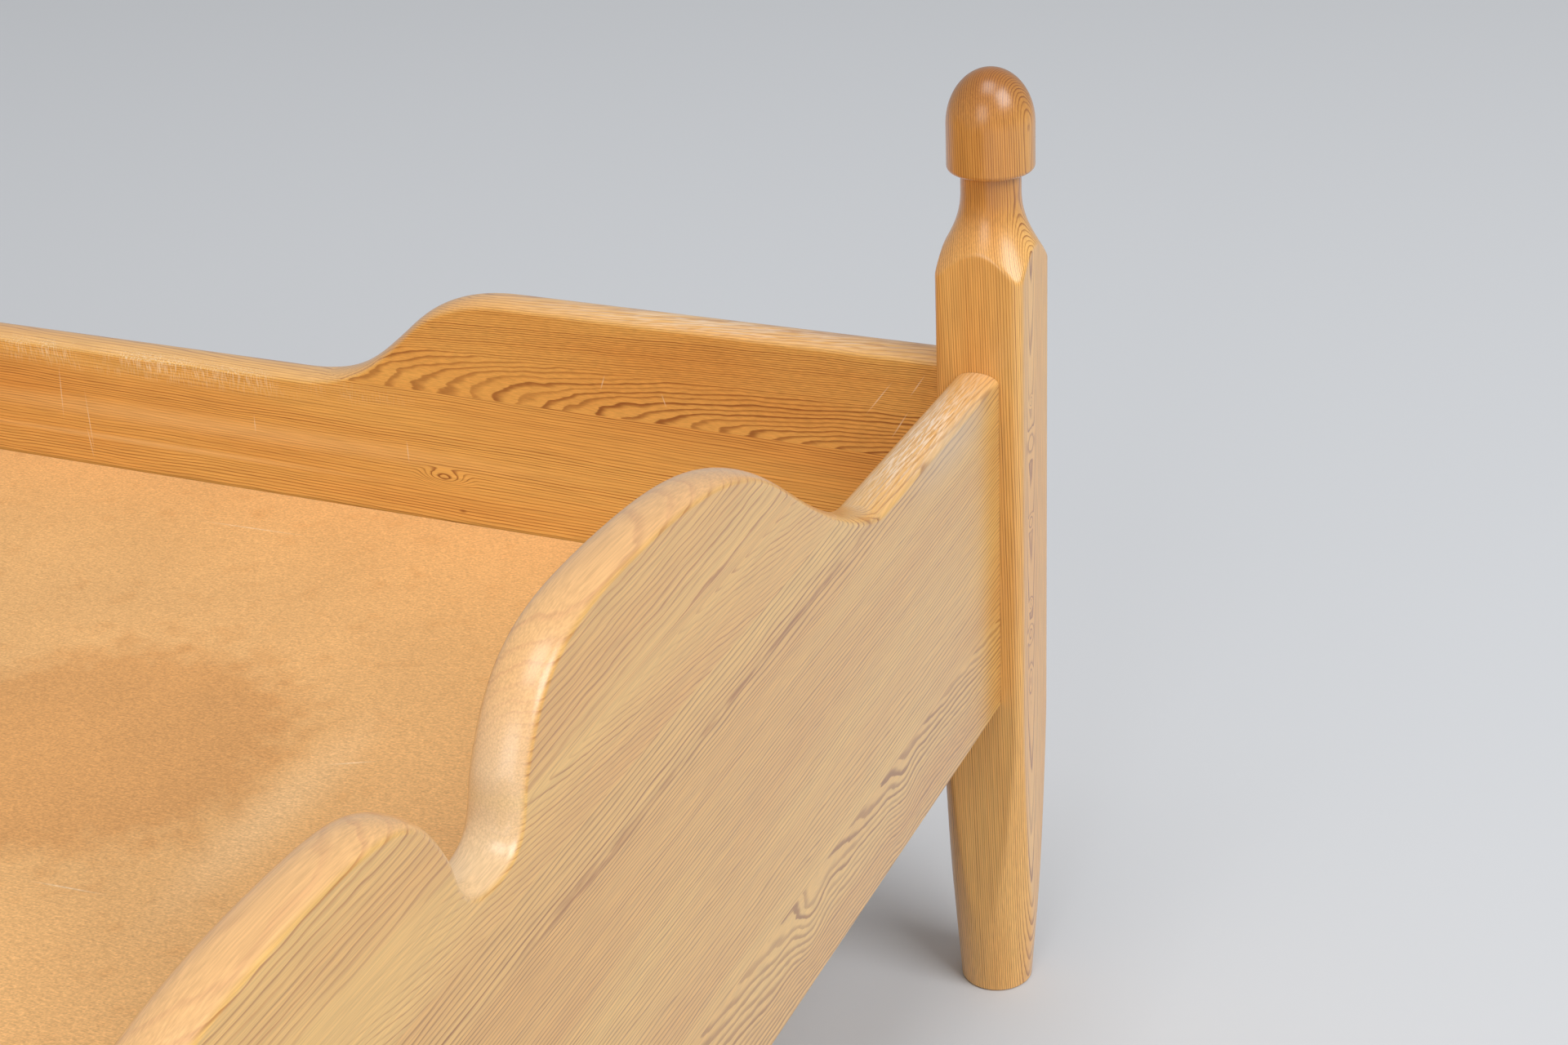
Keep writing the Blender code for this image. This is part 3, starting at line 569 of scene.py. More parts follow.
# %% Carry a section along it
CROWN = 0.0067
BOTTOM_EASE = 0.002
CROWN_STEPS = 18
EASE_STEPS = 4


def board_section():
    """Depth, rise and base of each step round the section, from the front bottom edge to the back."""
    section = []
    for step in range(EASE_STEPS + 1):
        angle = math.pi / 2 * step / EASE_STEPS
        inwards = BOTTOM_EASE * (1 - math.sin(angle))
        section.append((-HALF_BOARD + inwards, BOTTOM_EASE * (1 - math.cos(angle)), "bottom"))
    for step in range(CROWN_STEPS + 1):
        angle = math.pi * step / CROWN_STEPS
        section.append((-HALF_BOARD * math.cos(angle), CROWN * math.sin(angle), "top"))
    section += [(-depth, rise, base) for depth, rise, base in reversed(section[:EASE_STEPS + 1])]
    return section + section[:1]


def crowned_board(outline):
    """A board along X with its thickness along Y, its top edge sawn to an outline and rounded."""
    normals = outline_normals(outline)
    bm = bmesh.new()
    station = bm.verts.layers.int.new("station")
    row = [bm.verts.new((run, 0, 0)) for run, height in outline]
    for index, vert in enumerate(row):
        vert[station] = index
    edges = [bm.edges.new(pair) for pair in zip(row, row[1:])]
    for depth, rise, base in board_section():
        for vert in row:
            run, height = outline[vert[station]]
            along, up = normals[vert[station]]
            if base == "top":
                vert.co = (run + rise * along, depth, height + rise * up)
            else:
                vert.co = (run, depth, PANEL_BOTTOM + rise)
        grown = bmesh.ops.extrude_edge_only(bm, edges=edges)["geom"]
        row = [part for part in grown if isinstance(part, bmesh.types.BMVert)]
        fresh = set(row)
        edges = [part for part in grown if isinstance(part, bmesh.types.BMEdge)]
        edges = [edge for edge in edges if fresh.issuperset(edge.verts)]
    bmesh.ops.delete(bm, geom=row, context="VERTS")
    bmesh.ops.remove_doubles(bm, verts=bm.verts, dist=MERGE)
    ends = [edge for edge in bm.edges if edge.is_boundary]
    bmesh.ops.holes_fill(bm, edges=ends, sides=0)
    return bm


print("board section:", len(board_section()), "steps round it")

# %% [markdown]
# The boards are glued first and sawn to shape as one, so their curves run on over the glue lines.
# Here the whole outline is made for each board, and then sawn off above and below at its glue lines,
# with no more than a hairline left between neighbours.

# %% Saw a board off at its glue lines
GLUE_LINE = 0.00002            # half of the hairline between two glued boards


def saw(bm, point, normal):
    """Saw along a plane, drop what lies on the normal's side and close the cut."""
    geom = bm.verts[:] + bm.edges[:] + bm.faces[:]
    bmesh.ops.bisect_plane(bm, geom=geom, dist=MERGE, plane_co=point, plane_no=normal, clear_outer=True)
    bmesh.ops.holes_fill(bm, edges=[edge for edge in bm.edges if edge.is_boundary], sides=0)


def sawn_strip(outline, lower_joint, upper_joint):
    """The part of a crowned board between two glue lines, given by height and slope, or None."""
    bm = crowned_board(outline)
    if lower_joint:
        height, slope = lower_joint
        saw(bm, (0, 0, height + GLUE_LINE), (slope, 0, -1))
    if upper_joint:
        height, slope = upper_joint
        saw(bm, (0, 0, height - GLUE_LINE), (-slope, 0, 1))
    return bm


# %% [markdown]
# ## End panels
# Three boards are glued edge to edge, and then the whole panel is sawn by hand to its scalloped
# outline: a level shoulder at each post, two humps, and a deep notch between them. So one hump is a
# little lower than the other, and the glue line under them isn't quite level.

# %% Outline of a panel
SHOULDER = rail_high[2] - CROWN
HUMP_JOINT_DROP = 0.0038       # how much the glue line under the humps lies below the frame's, at the notch
HUMP_JOINT_SLOPE = 0.0228
NOTCH = 0.556
NOTCH_LEAD = 0.66
NOTCH_SIDE = 0.592
NOTCH_SIDE_OFFSET = 0.0369
NOTCH_SIDE_ANGLE = 1.11
NOTCH_SIDE_LEADS = (0.27, 0.39)
HUMPS = [                      # left and right: crest from the notch and up, its leads, run of the slope
    (0.130, 0.6335, (0.60, 0.45), 0.385),
    (0.159, 0.6470, (0.52, 0.58), 0.350),
]
SLOPE_MIDDLE = 0.5674
SLOPE_ANGLE = 0.62
SLOPE_LEADS = (0.34, 0.56)
SHOULDER_RUN = 0.2463
SHOULDER_LEAD = 0.12
LEVEL_JOINT = (LOWER_JOINT, 0.0)
HUMP_JOINT = (UPPER_JOINT - HUMP_JOINT_DROP, HUMP_JOINT_SLOPE)


def panel_outline():
    """The sawn top edge of a panel, from the left post over both humps to the right one."""
    halves = []
    for crest_offset, crest, crest_leads, slope_run in HUMPS:
        keys = [
            (0.0, NOTCH, 0.0, 0.0, NOTCH_LEAD),
            (NOTCH_SIDE_OFFSET, NOTCH_SIDE, NOTCH_SIDE_ANGLE, *NOTCH_SIDE_LEADS),
            (crest_offset, crest, 0.0, *crest_leads),
            (SIDE_Y - slope_run, SLOPE_MIDDLE, -SLOPE_ANGLE, *SLOPE_LEADS),
            (SIDE_Y - SHOULDER_RUN, SHOULDER, 0.0, SHOULDER_LEAD, 0.0),
        ]
        halves.append(sawn_curve(keys) + [(SIDE_Y - POST_GAP, SHOULDER)])
    return joined_halves(*halves)


print("panel outline:", len(panel_outline()), "points")

# %% [markdown]
# Each of the three boards comes from another log. The lower one has its pith well behind it, at the
# height of its upper edge, so its lines start as flames there and run level further down, with a dip
# or two. The middle one is cut far from the pith, with the rings at a slant, so it has fine straight
# lines and one reddish streak of resin under the upper glue line. The one with the humps holds its
# pith just behind the face. Below it the rings narrow along the log, which draws long thin arches,
# and above it they run nearly level.

# %% Wood of the lower board
FACES_ALONG = (1, 0, 0)        # the broad sides of a panel face along the bed
PANEL_CROWN_WEAR_AND_LIGHT = (0.35, FACES_ALONG)  # share of the paler crown colour beside the posts: rubbed wear, and painted light from above
HUMP_CROWN_WEAR_AND_LIGHT = (0.72, FACES_ALONG)   # and on the humps, which are handled most and where more of the light from above is painted in
PANEL_EARLY = "#E6B76A"
PANEL_WARM = "#D9A058"
LOWER_PITH = (0.074, 0.345)    # how far the pith lies behind the outer face, and its height
LOWER_LEAN = (0.075, 0.0)      # how much it comes forward and up with each metre across the bed
LOWER_WOOD = {
    "ring": 0.0031,
    "late": "#9E682A",
    "bends": ((0.009, 0.035, 3.5), (0.003, 0.012, 3.0)),
    "rise": (0.36, 0.76),
    "weak_zone": 1.0,
    "rubbed": PANEL_CROWN_WEAR_AND_LIGHT,
}
DIPS = [(0.343, 0.305), (0.499, 0.299)]  # across the bed, and the height
DIP_REACH = (0.040, 0.034, 0.055)
DIP_DEPTH = -0.0048


def lower_board_bend(outer_face):
    """Two places where the rings of the lower board dip."""
    def bend(tree, log, distance):
        for run, height in DIPS:
            distance = swelled(tree, distance, (outer_face, run, height), DIP_REACH, DIP_DEPTH)
        return distance
    return bend


# %% Wood of the middle board
MIDDLE_PITH = (0.30, 0.145)
MIDDLE_LEAN = (-0.03, 0.05)
MIDDLE_WIDER = (0.505, -0.36)  # the height above which the rings are wider, and by how much they spread
STREAK_TONE = ("#965612", 0.9)
STREAK_RINGS = (0.4782, 0.0017)  # from the pith to the resin streak, and half its width
STRONG_YEARS = (0.4816, 0.0050)  # the same for the run of dark years above the streak
STREAK_PATCHES = (0.0035, 9.0)
STREAK_RANGE = (0.36, 0.58)
STREAK_RUN = (0.33, 0.516)     # middle of the streak: across the bed, and its height
STREAK_REACH = (0.10, 0.40, 0.05)
STREAK_HEAD = (0.085, 0.5085)  # its thick end
STREAK_HEAD_REACH = (0.03, 0.095, 0.0065)
PANEL_WORN = 0.75              # share of dry fibre on the crown beside each post
PANEL_WORN_RUN = 0.14          # from the post axis to the middle of that place
PANEL_WORN_REACH = (0.025, 0.15, 0.010)
DRY_TONE = ("#CDB99E", 0.45)   # the dry face below it
DRY_RUN = 0.12
DRY_REACH = (0.010, 0.11, 0.035)


def other_rings_above(level, spread):
    """Rings that lie closer together above a height, or further apart where the spread is negative."""
    def bend(tree, log, distance):
        place = shade(tree, "TexCoord", {}).outputs["Object"]
        height = shade(tree, "SeparateXYZ", {"Vector": place}).outputs["Z"]
        above = shade(tree, "MapRange", {"Value": height, **from_range((level, level + 1.0))})
        return shade(tree, "Math", {0: above, 1: spread, 2: distance}, operation="MULTIPLY_ADD")
    return bend


def ring_band(tree, distance, middle, half):
    """A mask of the rings at a distance from the pith, fading out over half a width to either side."""
    away = shade(tree, "Math", {0: distance, 1: middle}, operation="SUBTRACT")
    away = shade(tree, "Math", {0: away}, operation="ABSOLUTE")
    return shade(tree, "MapRange", {"Value": away, "From Max": half, **to_range(FADING)})


def middle_board_stain(end):
    """The resin streak, and the worn crown and dry face beside each post."""
    outer_face = end * (END_X + HALF_BOARD)

    def stain(tree, log, distance, dark, colour):
        patches = stretched_noise(tree, log, *STREAK_PATCHES)
        patches = shade(tree, "MapRange", {"Value": patches, **from_range(STREAK_RANGE)})
        run = spot(tree, (outer_face, end * STREAK_RUN[0], STREAK_RUN[1]), STREAK_REACH)
        streak = ring_band(tree, distance, *STREAK_RINGS)
        streak = shade(tree, "Math", {0: streak, 1: run}, operation="MULTIPLY")
        head = spot(tree, (outer_face, end * STREAK_HEAD[0], STREAK_HEAD[1]), STREAK_HEAD_REACH)
        streak = shade(tree, "Math", {0: streak, 1: head}, operation="MAXIMUM")
        streak = shade(tree, "Math", {0: streak, 1: patches}, operation="MULTIPLY")
        colour = tint(tree, streak, colour, STREAK_TONE)
        strong = ring_band(tree, distance, *STRONG_YEARS)
        strong = shade(tree, "Math", {0: strong, 1: dark}, operation="MULTIPLY")
        colour = tint(tree, strong, colour, STREAK_TONE)
        for side, side_name in SIDES:
            crown = (end * END_X, side * (SIDE_Y - PANEL_WORN_RUN), SHOULDER + CROWN)
            colour = worn_edge(tree, log, colour, crown, PANEL_WORN_REACH, PANEL_WORN)
            dry = spot(tree, (outer_face, side * (SIDE_Y - DRY_RUN), SHOULDER), DRY_REACH)
            colour = tint(tree, dry, colour, DRY_TONE)
        return colour
    return stain


MIDDLE_WOOD = {
    "ring": 0.0018,
    "late": "#945C1E",
    "bends": ((0.018, 0.16, 6.0), (0.0030, 0.012, 7.0)),
    "rise": (0.52, 0.90),
    "weak_zone": 0.6,
    "rubbed": PANEL_CROWN_WEAR_AND_LIGHT,
    "bend": other_rings_above(*MIDDLE_WIDER),
}

# %% Wood of the board with the humps
UPPER_PITH = (0.006, 0.583)
UPPER_LEAN = (0.0, 0.03)
UPPER_FOLD = -0.35             # how much further apart the rings lie above the heart than below it
UPPER_TAPER = (-0.02, -0.15)   # how fast the rings narrow along the log, above and below the heart
UPPER_HEART = 0.004            # half the height in which the one goes over into the other
FADED_TONE = (PANEL_EARLY, 0.6)
FADED_REACH = (0.08, 1.6, 0.006)  # the pale strip along the heart
CALM_TONE = (PANEL_EARLY, 0.85)
CALM_PLACE = (-0.13, 0.572)    # where the arches fade out: across the bed, and the height
CALM_REACH = (0.08, 0.19, 0.034)
NOTCH_TONE = ("#E9CDA4", 0.9)  # the notch, where hands take hold, is rubbed palest
NOTCH_REACH = (0.05, 0.075, 0.085)


def upper_board_bend(tree, log, distance):
    """Rings that taper along the log below the heart, and lie nearly level and wider apart above it."""
    parts = shade(tree, "SeparateXYZ", {"Vector": log}).outputs
    heart = from_range((-UPPER_HEART, UPPER_HEART))
    taper = shade(tree, "MapRange", {"Value": parts["Y"], **heart, **to_range(UPPER_TAPER)},
                  interpolation_type="SMOOTHSTEP")
    distance = shade(tree, "Math", {0: parts["Z"], 1: taper, 2: distance}, operation="MULTIPLY_ADD")
    above = shade(tree, "MapRange", {"Value": parts["Y"], **from_range((0.0, -1.0))})
    return shade(tree, "Math", {0: above, 1: UPPER_FOLD, 2: distance}, operation="MULTIPLY_ADD")


def upper_board_stain(end):
    """The pale strip along the heart, a calm place where its arches fade out, and the rubbed notch."""
    outer_face = end * (END_X + HALF_BOARD)

    def stain(tree, log, distance, dark, colour):
        heart = spot(tree, (outer_face, 0.0, UPPER_PITH[1]), FADED_REACH)
        colour = tint(tree, heart, colour, FADED_TONE)
        calm = spot(tree, (outer_face, end * CALM_PLACE[0], CALM_PLACE[1]), CALM_REACH)
        colour = tint(tree, calm, colour, CALM_TONE)
        notch = spot(tree, (end * END_X, 0.0, NOTCH_SIDE), NOTCH_REACH)
        notch = shade(tree, "Math", {0: notch, 1: edge_mask(tree, FACES_ALONG)}, operation="MULTIPLY")
        return tint(tree, notch, colour, NOTCH_TONE)
    return stain


UPPER_WOOD = {
    "ring": 0.0031,
    "late": "#B0743A",
    "bends": ((0.010, 0.12, 4.0), (0.0044, 0.018, 3.0)),
    "rise": (0.58, 0.94),
    "weak_zone": 0.8,
    "rubbed": HUMP_CROWN_WEAR_AND_LIGHT,
    "bend": upper_board_bend,
}

# %% Make the panels
for end, end_name in ENDS:
    outer_face = end * (END_X + HALF_BOARD)
    boards = [
        ("lower_board", None, LEVEL_JOINT, LOWER_PITH, LOWER_LEAN,
         LOWER_WOOD | {"bend": lower_board_bend(outer_face)}),
        ("middle_board", LEVEL_JOINT, HUMP_JOINT, MIDDLE_PITH, MIDDLE_LEAN,
         MIDDLE_WOOD | {"stain": middle_board_stain(end)}),
        ("upper_board", HUMP_JOINT, None, UPPER_PITH, UPPER_LEAN,
         UPPER_WOOD | {"stain": upper_board_stain(end)}),
    ]
    for kind, lower_joint, upper_joint, (behind, height), (forward, up), figure in boards:
        bm = sawn_strip(panel_outline(), lower_joint, upper_joint)
        turn = Matrix.Rotation(end * math.pi / 2, 3, "Z")
        bmesh.ops.rotate(bm, cent=(0, 0, 0), matrix=turn, verts=bm.verts)
        bmesh.ops.translate(bm, vec=(end * END_X, 0, 0), verts=bm.verts)
        name = "%s_panel_%s" % (end_name, kind)
        wood = pine(name + "_pine", (outer_face - end * behind, 0.0, height), (end * forward, 1.0, up),
                    early=PANEL_EARLY, warm=PANEL_WARM, **figure)
        board = finished_piece(name + "_sawn", bm, wood, name)
print("panel boards:", len(board.data.vertices), "points in the last")

# %% [markdown]
# ## Side rails
# A rail is one long board with a raised shoulder glued on at each end, sawn and rounded in one go, so
# its top edge swings down from the post to a long low stretch where a sleeper sits.

# %% Outline of a rail
RAIL_LOW = 0.4335
RAIL_LOW_RUN = 0.5797
RAIL_LOW_LEAD = 0.476
RAIL_DROP_RUN = 0.470
RAIL_DROP_MIDDLE = 0.4804
RAIL_DROP_ANGLE = 0.72
RAIL_DROP_LEADS = (0.35, 0.19)
RAIL_SHOULDER_RUN = 0.3798
RAIL_SHOULDER_LEAD = 0.575


def rail_outline():
    """The sawn top edge of a rail, low in the middle and up to a shoulder at each end."""
    keys = [
        (END_X - RAIL_LOW_RUN, RAIL_LOW, 0.0, 0.0, RAIL_LOW_LEAD),
        (END_X - RAIL_DROP_RUN, RAIL_DROP_MIDDLE, RAIL_DROP_ANGLE, *RAIL_DROP_LEADS),
        (END_X - RAIL_SHOULDER_RUN, SHOULDER, 0.0, RAIL_SHOULDER_LEAD, 0.0),
    ]
    half = [(0.0, RAIL_LOW)] + sawn_curve(keys) + [(END_X - POST_GAP, SHOULDER)]
    return joined_halves(half, half)


print("rail outline:", len(rail_outline()), "points")

# %% [markdown]
# The long board has straight lines that swell round one small knot, and a paler band under its
# middle. Years of sitting and of bedding pulled over the low stretch have left short whitish scuffs
# under its inner edge and a few thin scratches. The shoulders are cut right beside the pith, at a
# small angle to it, so their lines rise in a row of nested arches, with finer lines above them.

# %% Wood of the rails
FACES_ACROSS = (0, 1, 0)       # the broad sides of a rail face across the bed
# the rails' crowns get the paler crown colour as well: rubbed wear and painted light from above
RAIL_PINE = {"early": "#EBB55F", "warm": "#DE9744", "late": "#8C4A16", "weak_zone": 0.7,
             "rubbed": (0.4, FACES_ACROSS)}
RAIL_WOOD = RAIL_PINE | {
    "ring": 0.0022,
    "bends": ((0.020, 0.16, 6.0), (0.0035, 0.018, 5.0)),
    "rise": (0.51, 0.90),
}
RAIL_PITH = (0.12, 0.20)       # how far the pith lies in front of the inner face, and its height
RAIL_FALL = -0.02              # how much it falls with each metre along the bed
SHOULDER_FINER = (0.478, 0.75) # the height above which a shoulder's rings are finer, and by how much
SHOULDER_WOOD = RAIL_PINE | {
    "ring": 0.0029,
    "bends": ((0.012, 0.10, 3.0), (0.006, 0.018, 3.0)),
    "rise": (0.42, 0.86),
    "bend": other_rings_above(*SHOULDER_FINER),
}
SHOULDER_PITH_RUN = 0.045      # from the post axis to where the pith crosses the inner face
SHOULDER_PITH_HEIGHT = 0.441
SHOULDER_SLANT = 0.125

# %% Marks of use on the rails
KNOT_X = END_X - 0.447
KNOT_HEIGHT = 0.369
KNOT_REACH = (0.031, 0.040, 0.0108)
KNOT_SWELL = 0.0100
RAIL_STAINS = [                # along the bed, height, reach and tone
    (0.36, 0.385, (0.40, 0.030, 0.014), ("#F3C27C", 0.65)),             # the paler band
    (0.30, 0.3595, (0.28, 0.030, 0.0045), ("#F3C27C", 0.7)),            # a thin pale strip below it
    (KNOT_X, KNOT_HEIGHT, (0.0045, 0.030, 0.0018), ("#8A4E1E", 0.55)),  # the heart of the knot
    (END_X - 0.4335, 0.343, (0.005, 0.030, 0.0022), ("#8A4E1E", 0.8)),  # a pin knot beside it
]
SCUFF_PLACE = (0.29, 0.431)    # along the bed, and the height
SCUFF_REACH = (0.32, 0.016, 0.018)
SCUFF_SIZE = (0.0011, 9.0)
SCUFF_RANGE = (0.47, 0.63)
SCUFF_TONE = ("#F6DCB2", 0.85)
CLUMP_SIZE = 0.03              # size of the places where the scuffs are thick
CLUMP_RANGE = (0.35, 0.60)
SCRATCH_TONE = ("#F2D9B4", 0.8)
SCRATCH_WIDTH = 0.0007         # wider than a real scratch, which would be too fine to show
RAIL_SCRATCHES = [             # from the post axis, height, lean along the bed, half length
    (0.811, 0.395, 0.10, 0.030),
    (0.787, 0.372, 0.02, 0.035),
    (0.790, 0.352, -0.06, 0.018),
    (0.620, 0.392, 0.05, 0.010),
    (0.478, 0.388, 0.00, 0.012),
]
SHOULDER_SCRATCHES = [
    (0.079, 0.487, 0.75, 0.020),
    (0.064, 0.468, 0.60, 0.016),
    (0.050, 0.500, 0.65, 0.013),
    (0.300, 0.470, 0.35, 0.008),
    (0.250, 0.462, -0.30, 0.007),
]
SHOULDER_WEAR = (0.20, 0.26)   # middle of a shoulder's worn crown, from the post axis, and half its length
SHOULDER_WORN = 0.6            # share of dry fibre there


def scratched(tree, colour, scratches, side):
    """Thin pale scratches across the grain on the inner face of a rail."""
    for run, height, lean, half in scratches:
        place = (END_X - run, side * (SIDE_Y - HALF_BOARD), height)
        line = spot(tree, place, (SCRATCH_WIDTH, HALF_BOARD, half), (lean, 0.0, 1.0))
        colour = tint(tree, line, colour, SCRATCH_TONE)
    return colour


def rail_marks(side):
    """The swelling round a rail's knot, and the stains, scuffs and scratches on its inner face."""
    inner_face = side * (SIDE_Y - HALF_BOARD)

    def swell(tree, log, distance):
        return swelled(tree, distance, (KNOT_X, inner_face, KNOT_HEIGHT), KNOT_REACH, KNOT_SWELL)

    def stain(tree, log, distance, dark, colour):
        for run, height, reach, tone in RAIL_STAINS:
            colour = tint(tree, spot(tree, (run, inner_face, height), reach), colour, tone)
        place = shade(tree, "TexCoord", {}).outputs["Object"]
        strokes = stretched_noise(tree, place, *SCUFF_SIZE)
        strokes = shade(tree, "MapRange", {"Value": strokes, **from_range(SCUFF_RANGE)})
        rubbed = spot(tree, (SCUFF_PLACE[0], inner_face, SCUFF_PLACE[1]), SCUFF_REACH)
        scuffs = shade(tree, "Math", {0: strokes, 1: rubbed}, operation="MULTIPLY")
        clumps = shade(tree, "TexNoise", {"Vector": place, "Scale": 1 / CLUMP_SIZE})
        clumps = shade(tree, "MapRange", {"Value": clumps, **from_range(CLUMP_RANGE)})
        scuffs = shade(tree, "Math", {0: scuffs, 1: clumps}, operation="MULTIPLY")
        colour = tint(tree, scuffs, colour, SCUFF_TONE)
        return scratched(tree, colour, RAIL_SCRATCHES, side)

    return swell, stain


def shoulder_stain(side):
    """The worn crown of a rail's shoulders, and the scratches on their inner face."""
    def stain(tree, log, distance, dark, colour):
        for end, end_name in ENDS:
            crown = (end * (END_X - SHOULDER_WEAR[0]), side * SIDE_Y, SHOULDER + CROWN)
            colour = worn_edge(tree, log, colour, crown, (SHOULDER_WEAR[1], BOARD, CROWN), SHOULDER_WORN)
        return scratched(tree, colour, SHOULDER_SCRATCHES, side)
    return stain


# %% Make the rails
for side, side_name in SIDES:
    inner_face = side * (SIDE_Y - HALF_BOARD)
    place = (0, side * SIDE_Y, 0)
    bm = sawn_strip(rail_outline(), None, (RAIL_JOINT, 0.0))
    bmesh.ops.translate(bm, vec=place, verts=bm.verts)
    name = side_name + "_rail_board"
    swell, stain = rail_marks(side)
    in_front, height = RAIL_PITH
    wood = pine(name + "_pine", (0.0, inner_face - side * in_front, height), (1.0, 0.0, RAIL_FALL),
                bend=swell, stain=stain, **RAIL_WOOD)
    finished_piece(name + "_sawn", bm, wood, name)
    for end, end_name in ENDS:
        bm = sawn_strip(rail_outline(), (RAIL_JOINT, 0.0), None)
        saw(bm, (0, 0, 0), (-end, 0, 0))
        bmesh.ops.translate(bm, vec=place, verts=bm.verts)
        name = "%s_rail_%s_shoulder" % (side_name, end_name)
        pith = (end * (END_X - SHOULDER_PITH_RUN), inner_face, SHOULDER_PITH_HEIGHT)
        wood = pine(name + "_pine", pith, (1.0, SHOULDER_SLANT * end * side, 0.0),
                    stain=shoulder_stain(side), **SHOULDER_WOOD)
        shoulder = finished_piece(name + "_sawn", bm, wood, name)
print("rail shoulders:", len(shoulder.data.vertices), "points each")

# %% [markdown]
# ## Base and underside
# The base is a thin sheet of hardboard, pressed from wood fibre: a warm tan with a fine speckle and a
# stain where something damp has stood. The slats, ledgers and beam under it are planed deal with no
# finish, paler and duller than the bed, and the fittings and screws are steel.

# %% Hardboard
HARDBOARD = "#E2AF71"
SHEET_ROUGHNESS = 0.55
SHEET_MARKS = [                # size, detail, stretch, way round, and darkest and brightest tone
    (0.0018, 3.0, 1.0, 0.0, (0.84, 1.12)),  # bundles of fibre pressed into the face
    (0.14, 4.0, 1.0, 0.0, (0.93, 1.05)),    # clouds
    (0.0008, 2.0, 6.0, 0.5, (0.90, 1.10)),  # loose fibres, most of which lie in one of two ways
    (0.0008, 2.0, 6.0, 2.1, (0.90, 1.10)),
]
STAIN_TONE = ("#BE7A34", 0.42)
STAIN_PLACE = (0.52, 0.335)    # along the bed, and across it
STAIN_REACH = 0.19
STAIN_GRAIN = 0.022            # size of the ragged bits along the stain's edge
STAIN_DETAIL = 8.0
STAIN_RAGGED = 0.75
STAIN_RANGE = (0.42, 0.74)
PALE_STREAK = (0.684, 0.30)
PALE_STREAK_REACH = (0.035, 0.17, 0.1)
PALE_STREAK_TONE = ("#F0C893", 0.5)
SHEET_SCRATCHES = [            # along the bed, across it, lean across it, half length
    (0.610, 0.188, 0.07, 0.032),
    (0.435, 0.648, 0.04, 0.060),
    (0.700, 0.372, 0.50, 0.020),
]
SHEET_SCRATCH_WIDTH = 0.0011   # wider than a real scratch, which would be too fine to show
SHEET_SCRATCH_TONE = ("#F5DDB8", 0.6)


def hardboard():
    """Pressed wood fibre: a smooth matt sheet with short pale and dark fibres all over."""
    material, shader = fresh_finish("hardboard")
    tree = material.node_tree
    place = shade(tree, "TexCoord", {}).outputs["Object"]
    damp = spot(tree, (*STAIN_PLACE, BASE_TOP), (STAIN_REACH, STAIN_REACH, STAIN_REACH))
    ragged = shade(tree, "TexNoise", {"Vector": place, "Scale": 1 / STAIN_GRAIN, "Detail": STAIN_DETAIL})
    damp = shade(tree, "Math", {0: ragged, 1: STAIN_RAGGED, 2: damp}, operation="MULTIPLY_ADD")
    damp = shade(tree, "MapRange", {"Value": damp, **from_range(STAIN_RANGE)})
    colour = tint(tree, damp, linear(HARDBOARD), STAIN_TONE)
    colour = tint(tree, spot(tree, (*PALE_STREAK, BASE_TOP), PALE_STREAK_REACH), colour, PALE_STREAK_TONE)
    for run, across, lean, half in SHEET_SCRATCHES:
        reach = (SHEET_SCRATCH_WIDTH, SHEET_SCRATCH_WIDTH, half)
        line = spot(tree, (run, across, BASE_TOP), reach, (1.0, lean, 0.0))
        colour = tint(tree, line, colour, SHEET_SCRATCH_TONE)
    for size, detail, stretch, way, tones in SHEET_MARKS:
        drawn = shade(tree, "Mapping", {"Vector": place, "Rotation": (0, 0, way),
                                        "Scale": (1 / stretch, 1, 1)})
        marks = shade(tree, "TexNoise", {"Vector": drawn, "Scale": 1 / size, "Detail": detail})
        tone = shade(tree, "MapRange", {"Value": marks, **from_range(NOISE_SPAN), **to_range(tones)})
        colour = shade(tree, "VectorMath", {0: colour, "Scale": tone.outputs[0]}, operation="SCALE")
    tree.links.new(colour.outputs[0], shader.inputs["Base Color"])
    shader.inputs["Roughness"].default_value = SHEET_ROUGHNESS
    return material


# %% Deal and steel
DEAL = {"ring": 0.0035, "early": "#E6C48C", "warm": "#DDB478", "late": "#C08A4E",
        "roughness": 0.6, "coat": 0.0}
DEAL_LOGS = {                  # a point on the pith, and the way that it runs, a little off the plank's
    "across": ((0.0, 0.0, 0.1), (0.02, 1.0, 0.01)),
    "along": ((0.0, 0.2, 0.2), (1.0, 0.01, 0.02)),
    "upright": ((0.05, 0.02, 0.0), (0.01, 0.02, 1.0)),
}
STEEL_DULL = "#8E8A82"
STEEL_BRIGHT = "#B5B1A8"
BLOOM_SIZE = 0.004
BLOOM_DETAIL = 4.0
STEEL_ROUGHNESS = (0.3, 0.5)


def aged_steel():
    """Zinc-plated steel gone dull with age: a grey sheen with small cloudy patches."""
    material, shader = fresh_finish("aged_steel")
    tree = material.node_tree
    place = shade(tree, "TexCoord", {}).outputs["Object"]
    bloom = shade(tree, "TexNoise", {"Vector": place, "Scale": 1 / BLOOM_SIZE, "Detail": BLOOM_DETAIL})
    colour = tint(tree, bloom, linear(STEEL_DULL), (STEEL_BRIGHT, 1.0))
    tree.links.new(colour, shader.inputs["Base Color"])
    gloss = shade(tree, "MapRange", {"Value": bloom, **to_range(STEEL_ROUGHNESS)})
    tree.links.new(gloss.outputs[0], shader.inputs["Roughness"])
    shader.inputs["Metallic"].default_value = 1.0
    return material


# %% Dress the pieces that keep their frame shape
deal = {way: pine("planed_deal_" + way, *log, **DEAL) for way, log in DEAL_LOGS.items()}
finishes = {"fibreboard": hardboard(), "steel": aged_steel()}


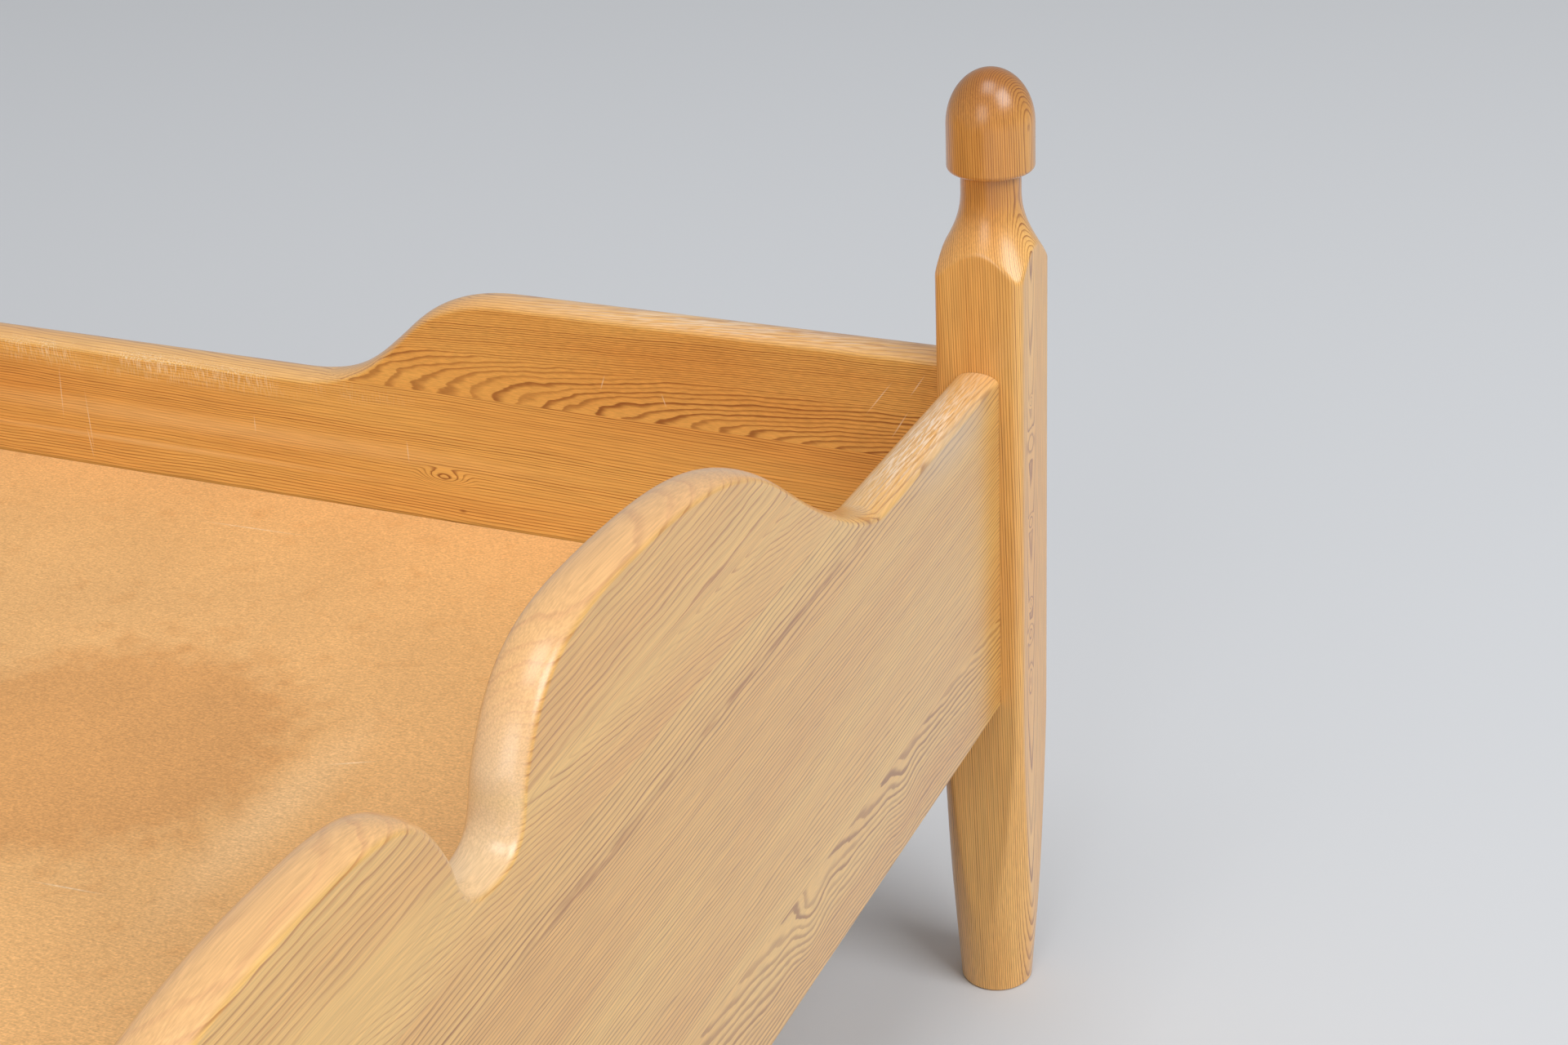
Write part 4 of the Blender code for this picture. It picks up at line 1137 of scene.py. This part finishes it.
def finish_of(node, slot):
    """The finish of a piece that keeps its frame shape, with the grain along the piece."""
    if slot == "bare_deal":
        if node.startswith("slat") or node.endswith("cradle"):
            return deal["across"]
        return deal["upright"] if node.endswith("leg") else deal["along"]
    return finishes.get(slot)


dressed = 0
for part in frame["record"]["subparts"]:
    finish = finish_of(part["node"], part["material_slot"])
    if finish:
        node = frame["nodes"][part["node"]]
        node.data.materials.clear()
        node.data.materials.append(finish)
        dressed += 1
print("dressed", dressed, "pieces in their frame shape")

# %% [markdown]
# ## Studio
# The bed stands on a seamless pale grey floor. A wide soft light hangs high above its near side, so
# that the shadow falls behind it. A second, to the right of the camera, lights the end panel and
# leaves the highlights on the finial and the crowns. A third, behind the camera, lights the faces
# across the bed, and the rest of the room fills in evenly. The camera stands beside the foot end,
# looking down over the corner.

# %% Floor
FLOOR_SIZE = 200.0
FLOOR_COLOUR = "#CFD2D6"
FLOOR_ROUGHNESS = 0.8
scene = bpy.context.scene
scene.view_settings.view_transform = "Standard"  # colours show as they are written
bm = bmesh.new()
bmesh.ops.create_grid(bm, x_segments=1, y_segments=1, size=FLOOR_SIZE / 2)
floor_mesh = bpy.data.meshes.new("studio_floor")
bm.to_mesh(floor_mesh)
bm.free()
floor = bpy.data.objects.new("studio_floor", floor_mesh)
scene.collection.objects.link(floor)
paint, paint_shader = fresh_finish("studio_grey")
paint_shader.inputs["Base Color"].default_value = linear(FLOOR_COLOUR)
paint_shader.inputs["Roughness"].default_value = FLOOR_ROUGHNESS
floor_mesh.materials.append(paint)
print("floor", FLOOR_SIZE, "metres square")

# %% Light
ROOM_COLOUR = "#F8F8F9"
ROOM_STRENGTH = 0.41
SOFTBOXES = [                  # name, place, what it faces, length of a side and power in watts
    ("overhead_softbox", (1.2, -1.9, 11.0), (1.0, 0.6, 0.2), 5.5, 375.0),
    ("side_softbox", (END_X + 4.8, SIDE_Y - 1.8, 5.5), (END_X, SIDE_Y, 0.4), 4.0, 315.0),
    ("front_softbox", (0.8, -4.5, 2.6), (1.0, 0.4, 0.4), 2.5, 54.0),
]
world = bpy.data.worlds.new("studio")
world.use_nodes = True
room = world.node_tree.nodes["Background"]
room.inputs["Color"].default_value = linear(ROOM_COLOUR)
room.inputs["Strength"].default_value = ROOM_STRENGTH
scene.world = world
for name, place, target, size, power in SOFTBOXES:
    lamp = bpy.data.lights.new(name, "AREA")
    lamp.shape = "SQUARE"
    lamp.size = size
    lamp.energy = power
    lit = bpy.data.objects.new(name, lamp)
    aim = (Vector(target) - Vector(place)).to_track_quat("-Z", "Y")
    lit.matrix_world = Matrix.Translation(place) @ aim.to_matrix().to_4x4()
    scene.collection.objects.link(lit)
print("lamps:", len(SOFTBOXES))

# %% Camera
CAMERA_PLACE = (END_X + 0.5349, SIDE_Y - 1.5312, 1.2060)
CAMERA_AZIMUTH = math.radians(24.56)
CAMERA_PITCH = math.radians(26.47)
CAMERA_ROLL = math.radians(-2.83)
SENSOR_WIDTH = 36.0            # the camera's own measures are in millimetres
LENS = 57.95
camera_data = bpy.data.cameras.new("camera")
camera_data.sensor_width = SENSOR_WIDTH
camera_data.lens = LENS
camera = bpy.data.objects.new("camera", camera_data)
heading = Matrix.Rotation(CAMERA_AZIMUTH, 4, "Z")
pitch = Matrix.Rotation(math.pi / 2 - CAMERA_PITCH, 4, "X")
roll = Matrix.Rotation(CAMERA_ROLL, 4, "Z")
camera.matrix_world = Matrix.Translation(CAMERA_PLACE) @ heading @ pitch @ roll
scene.collection.objects.link(camera)
scene.camera = camera
print("camera at", CAMERA_PLACE)

# %% [markdown]
# ## Last update
# The dressed bed has to be as large as its frame. The last step brings the scene up to date.

# %% Bring the scene up to date
bpy.context.view_layer.update()
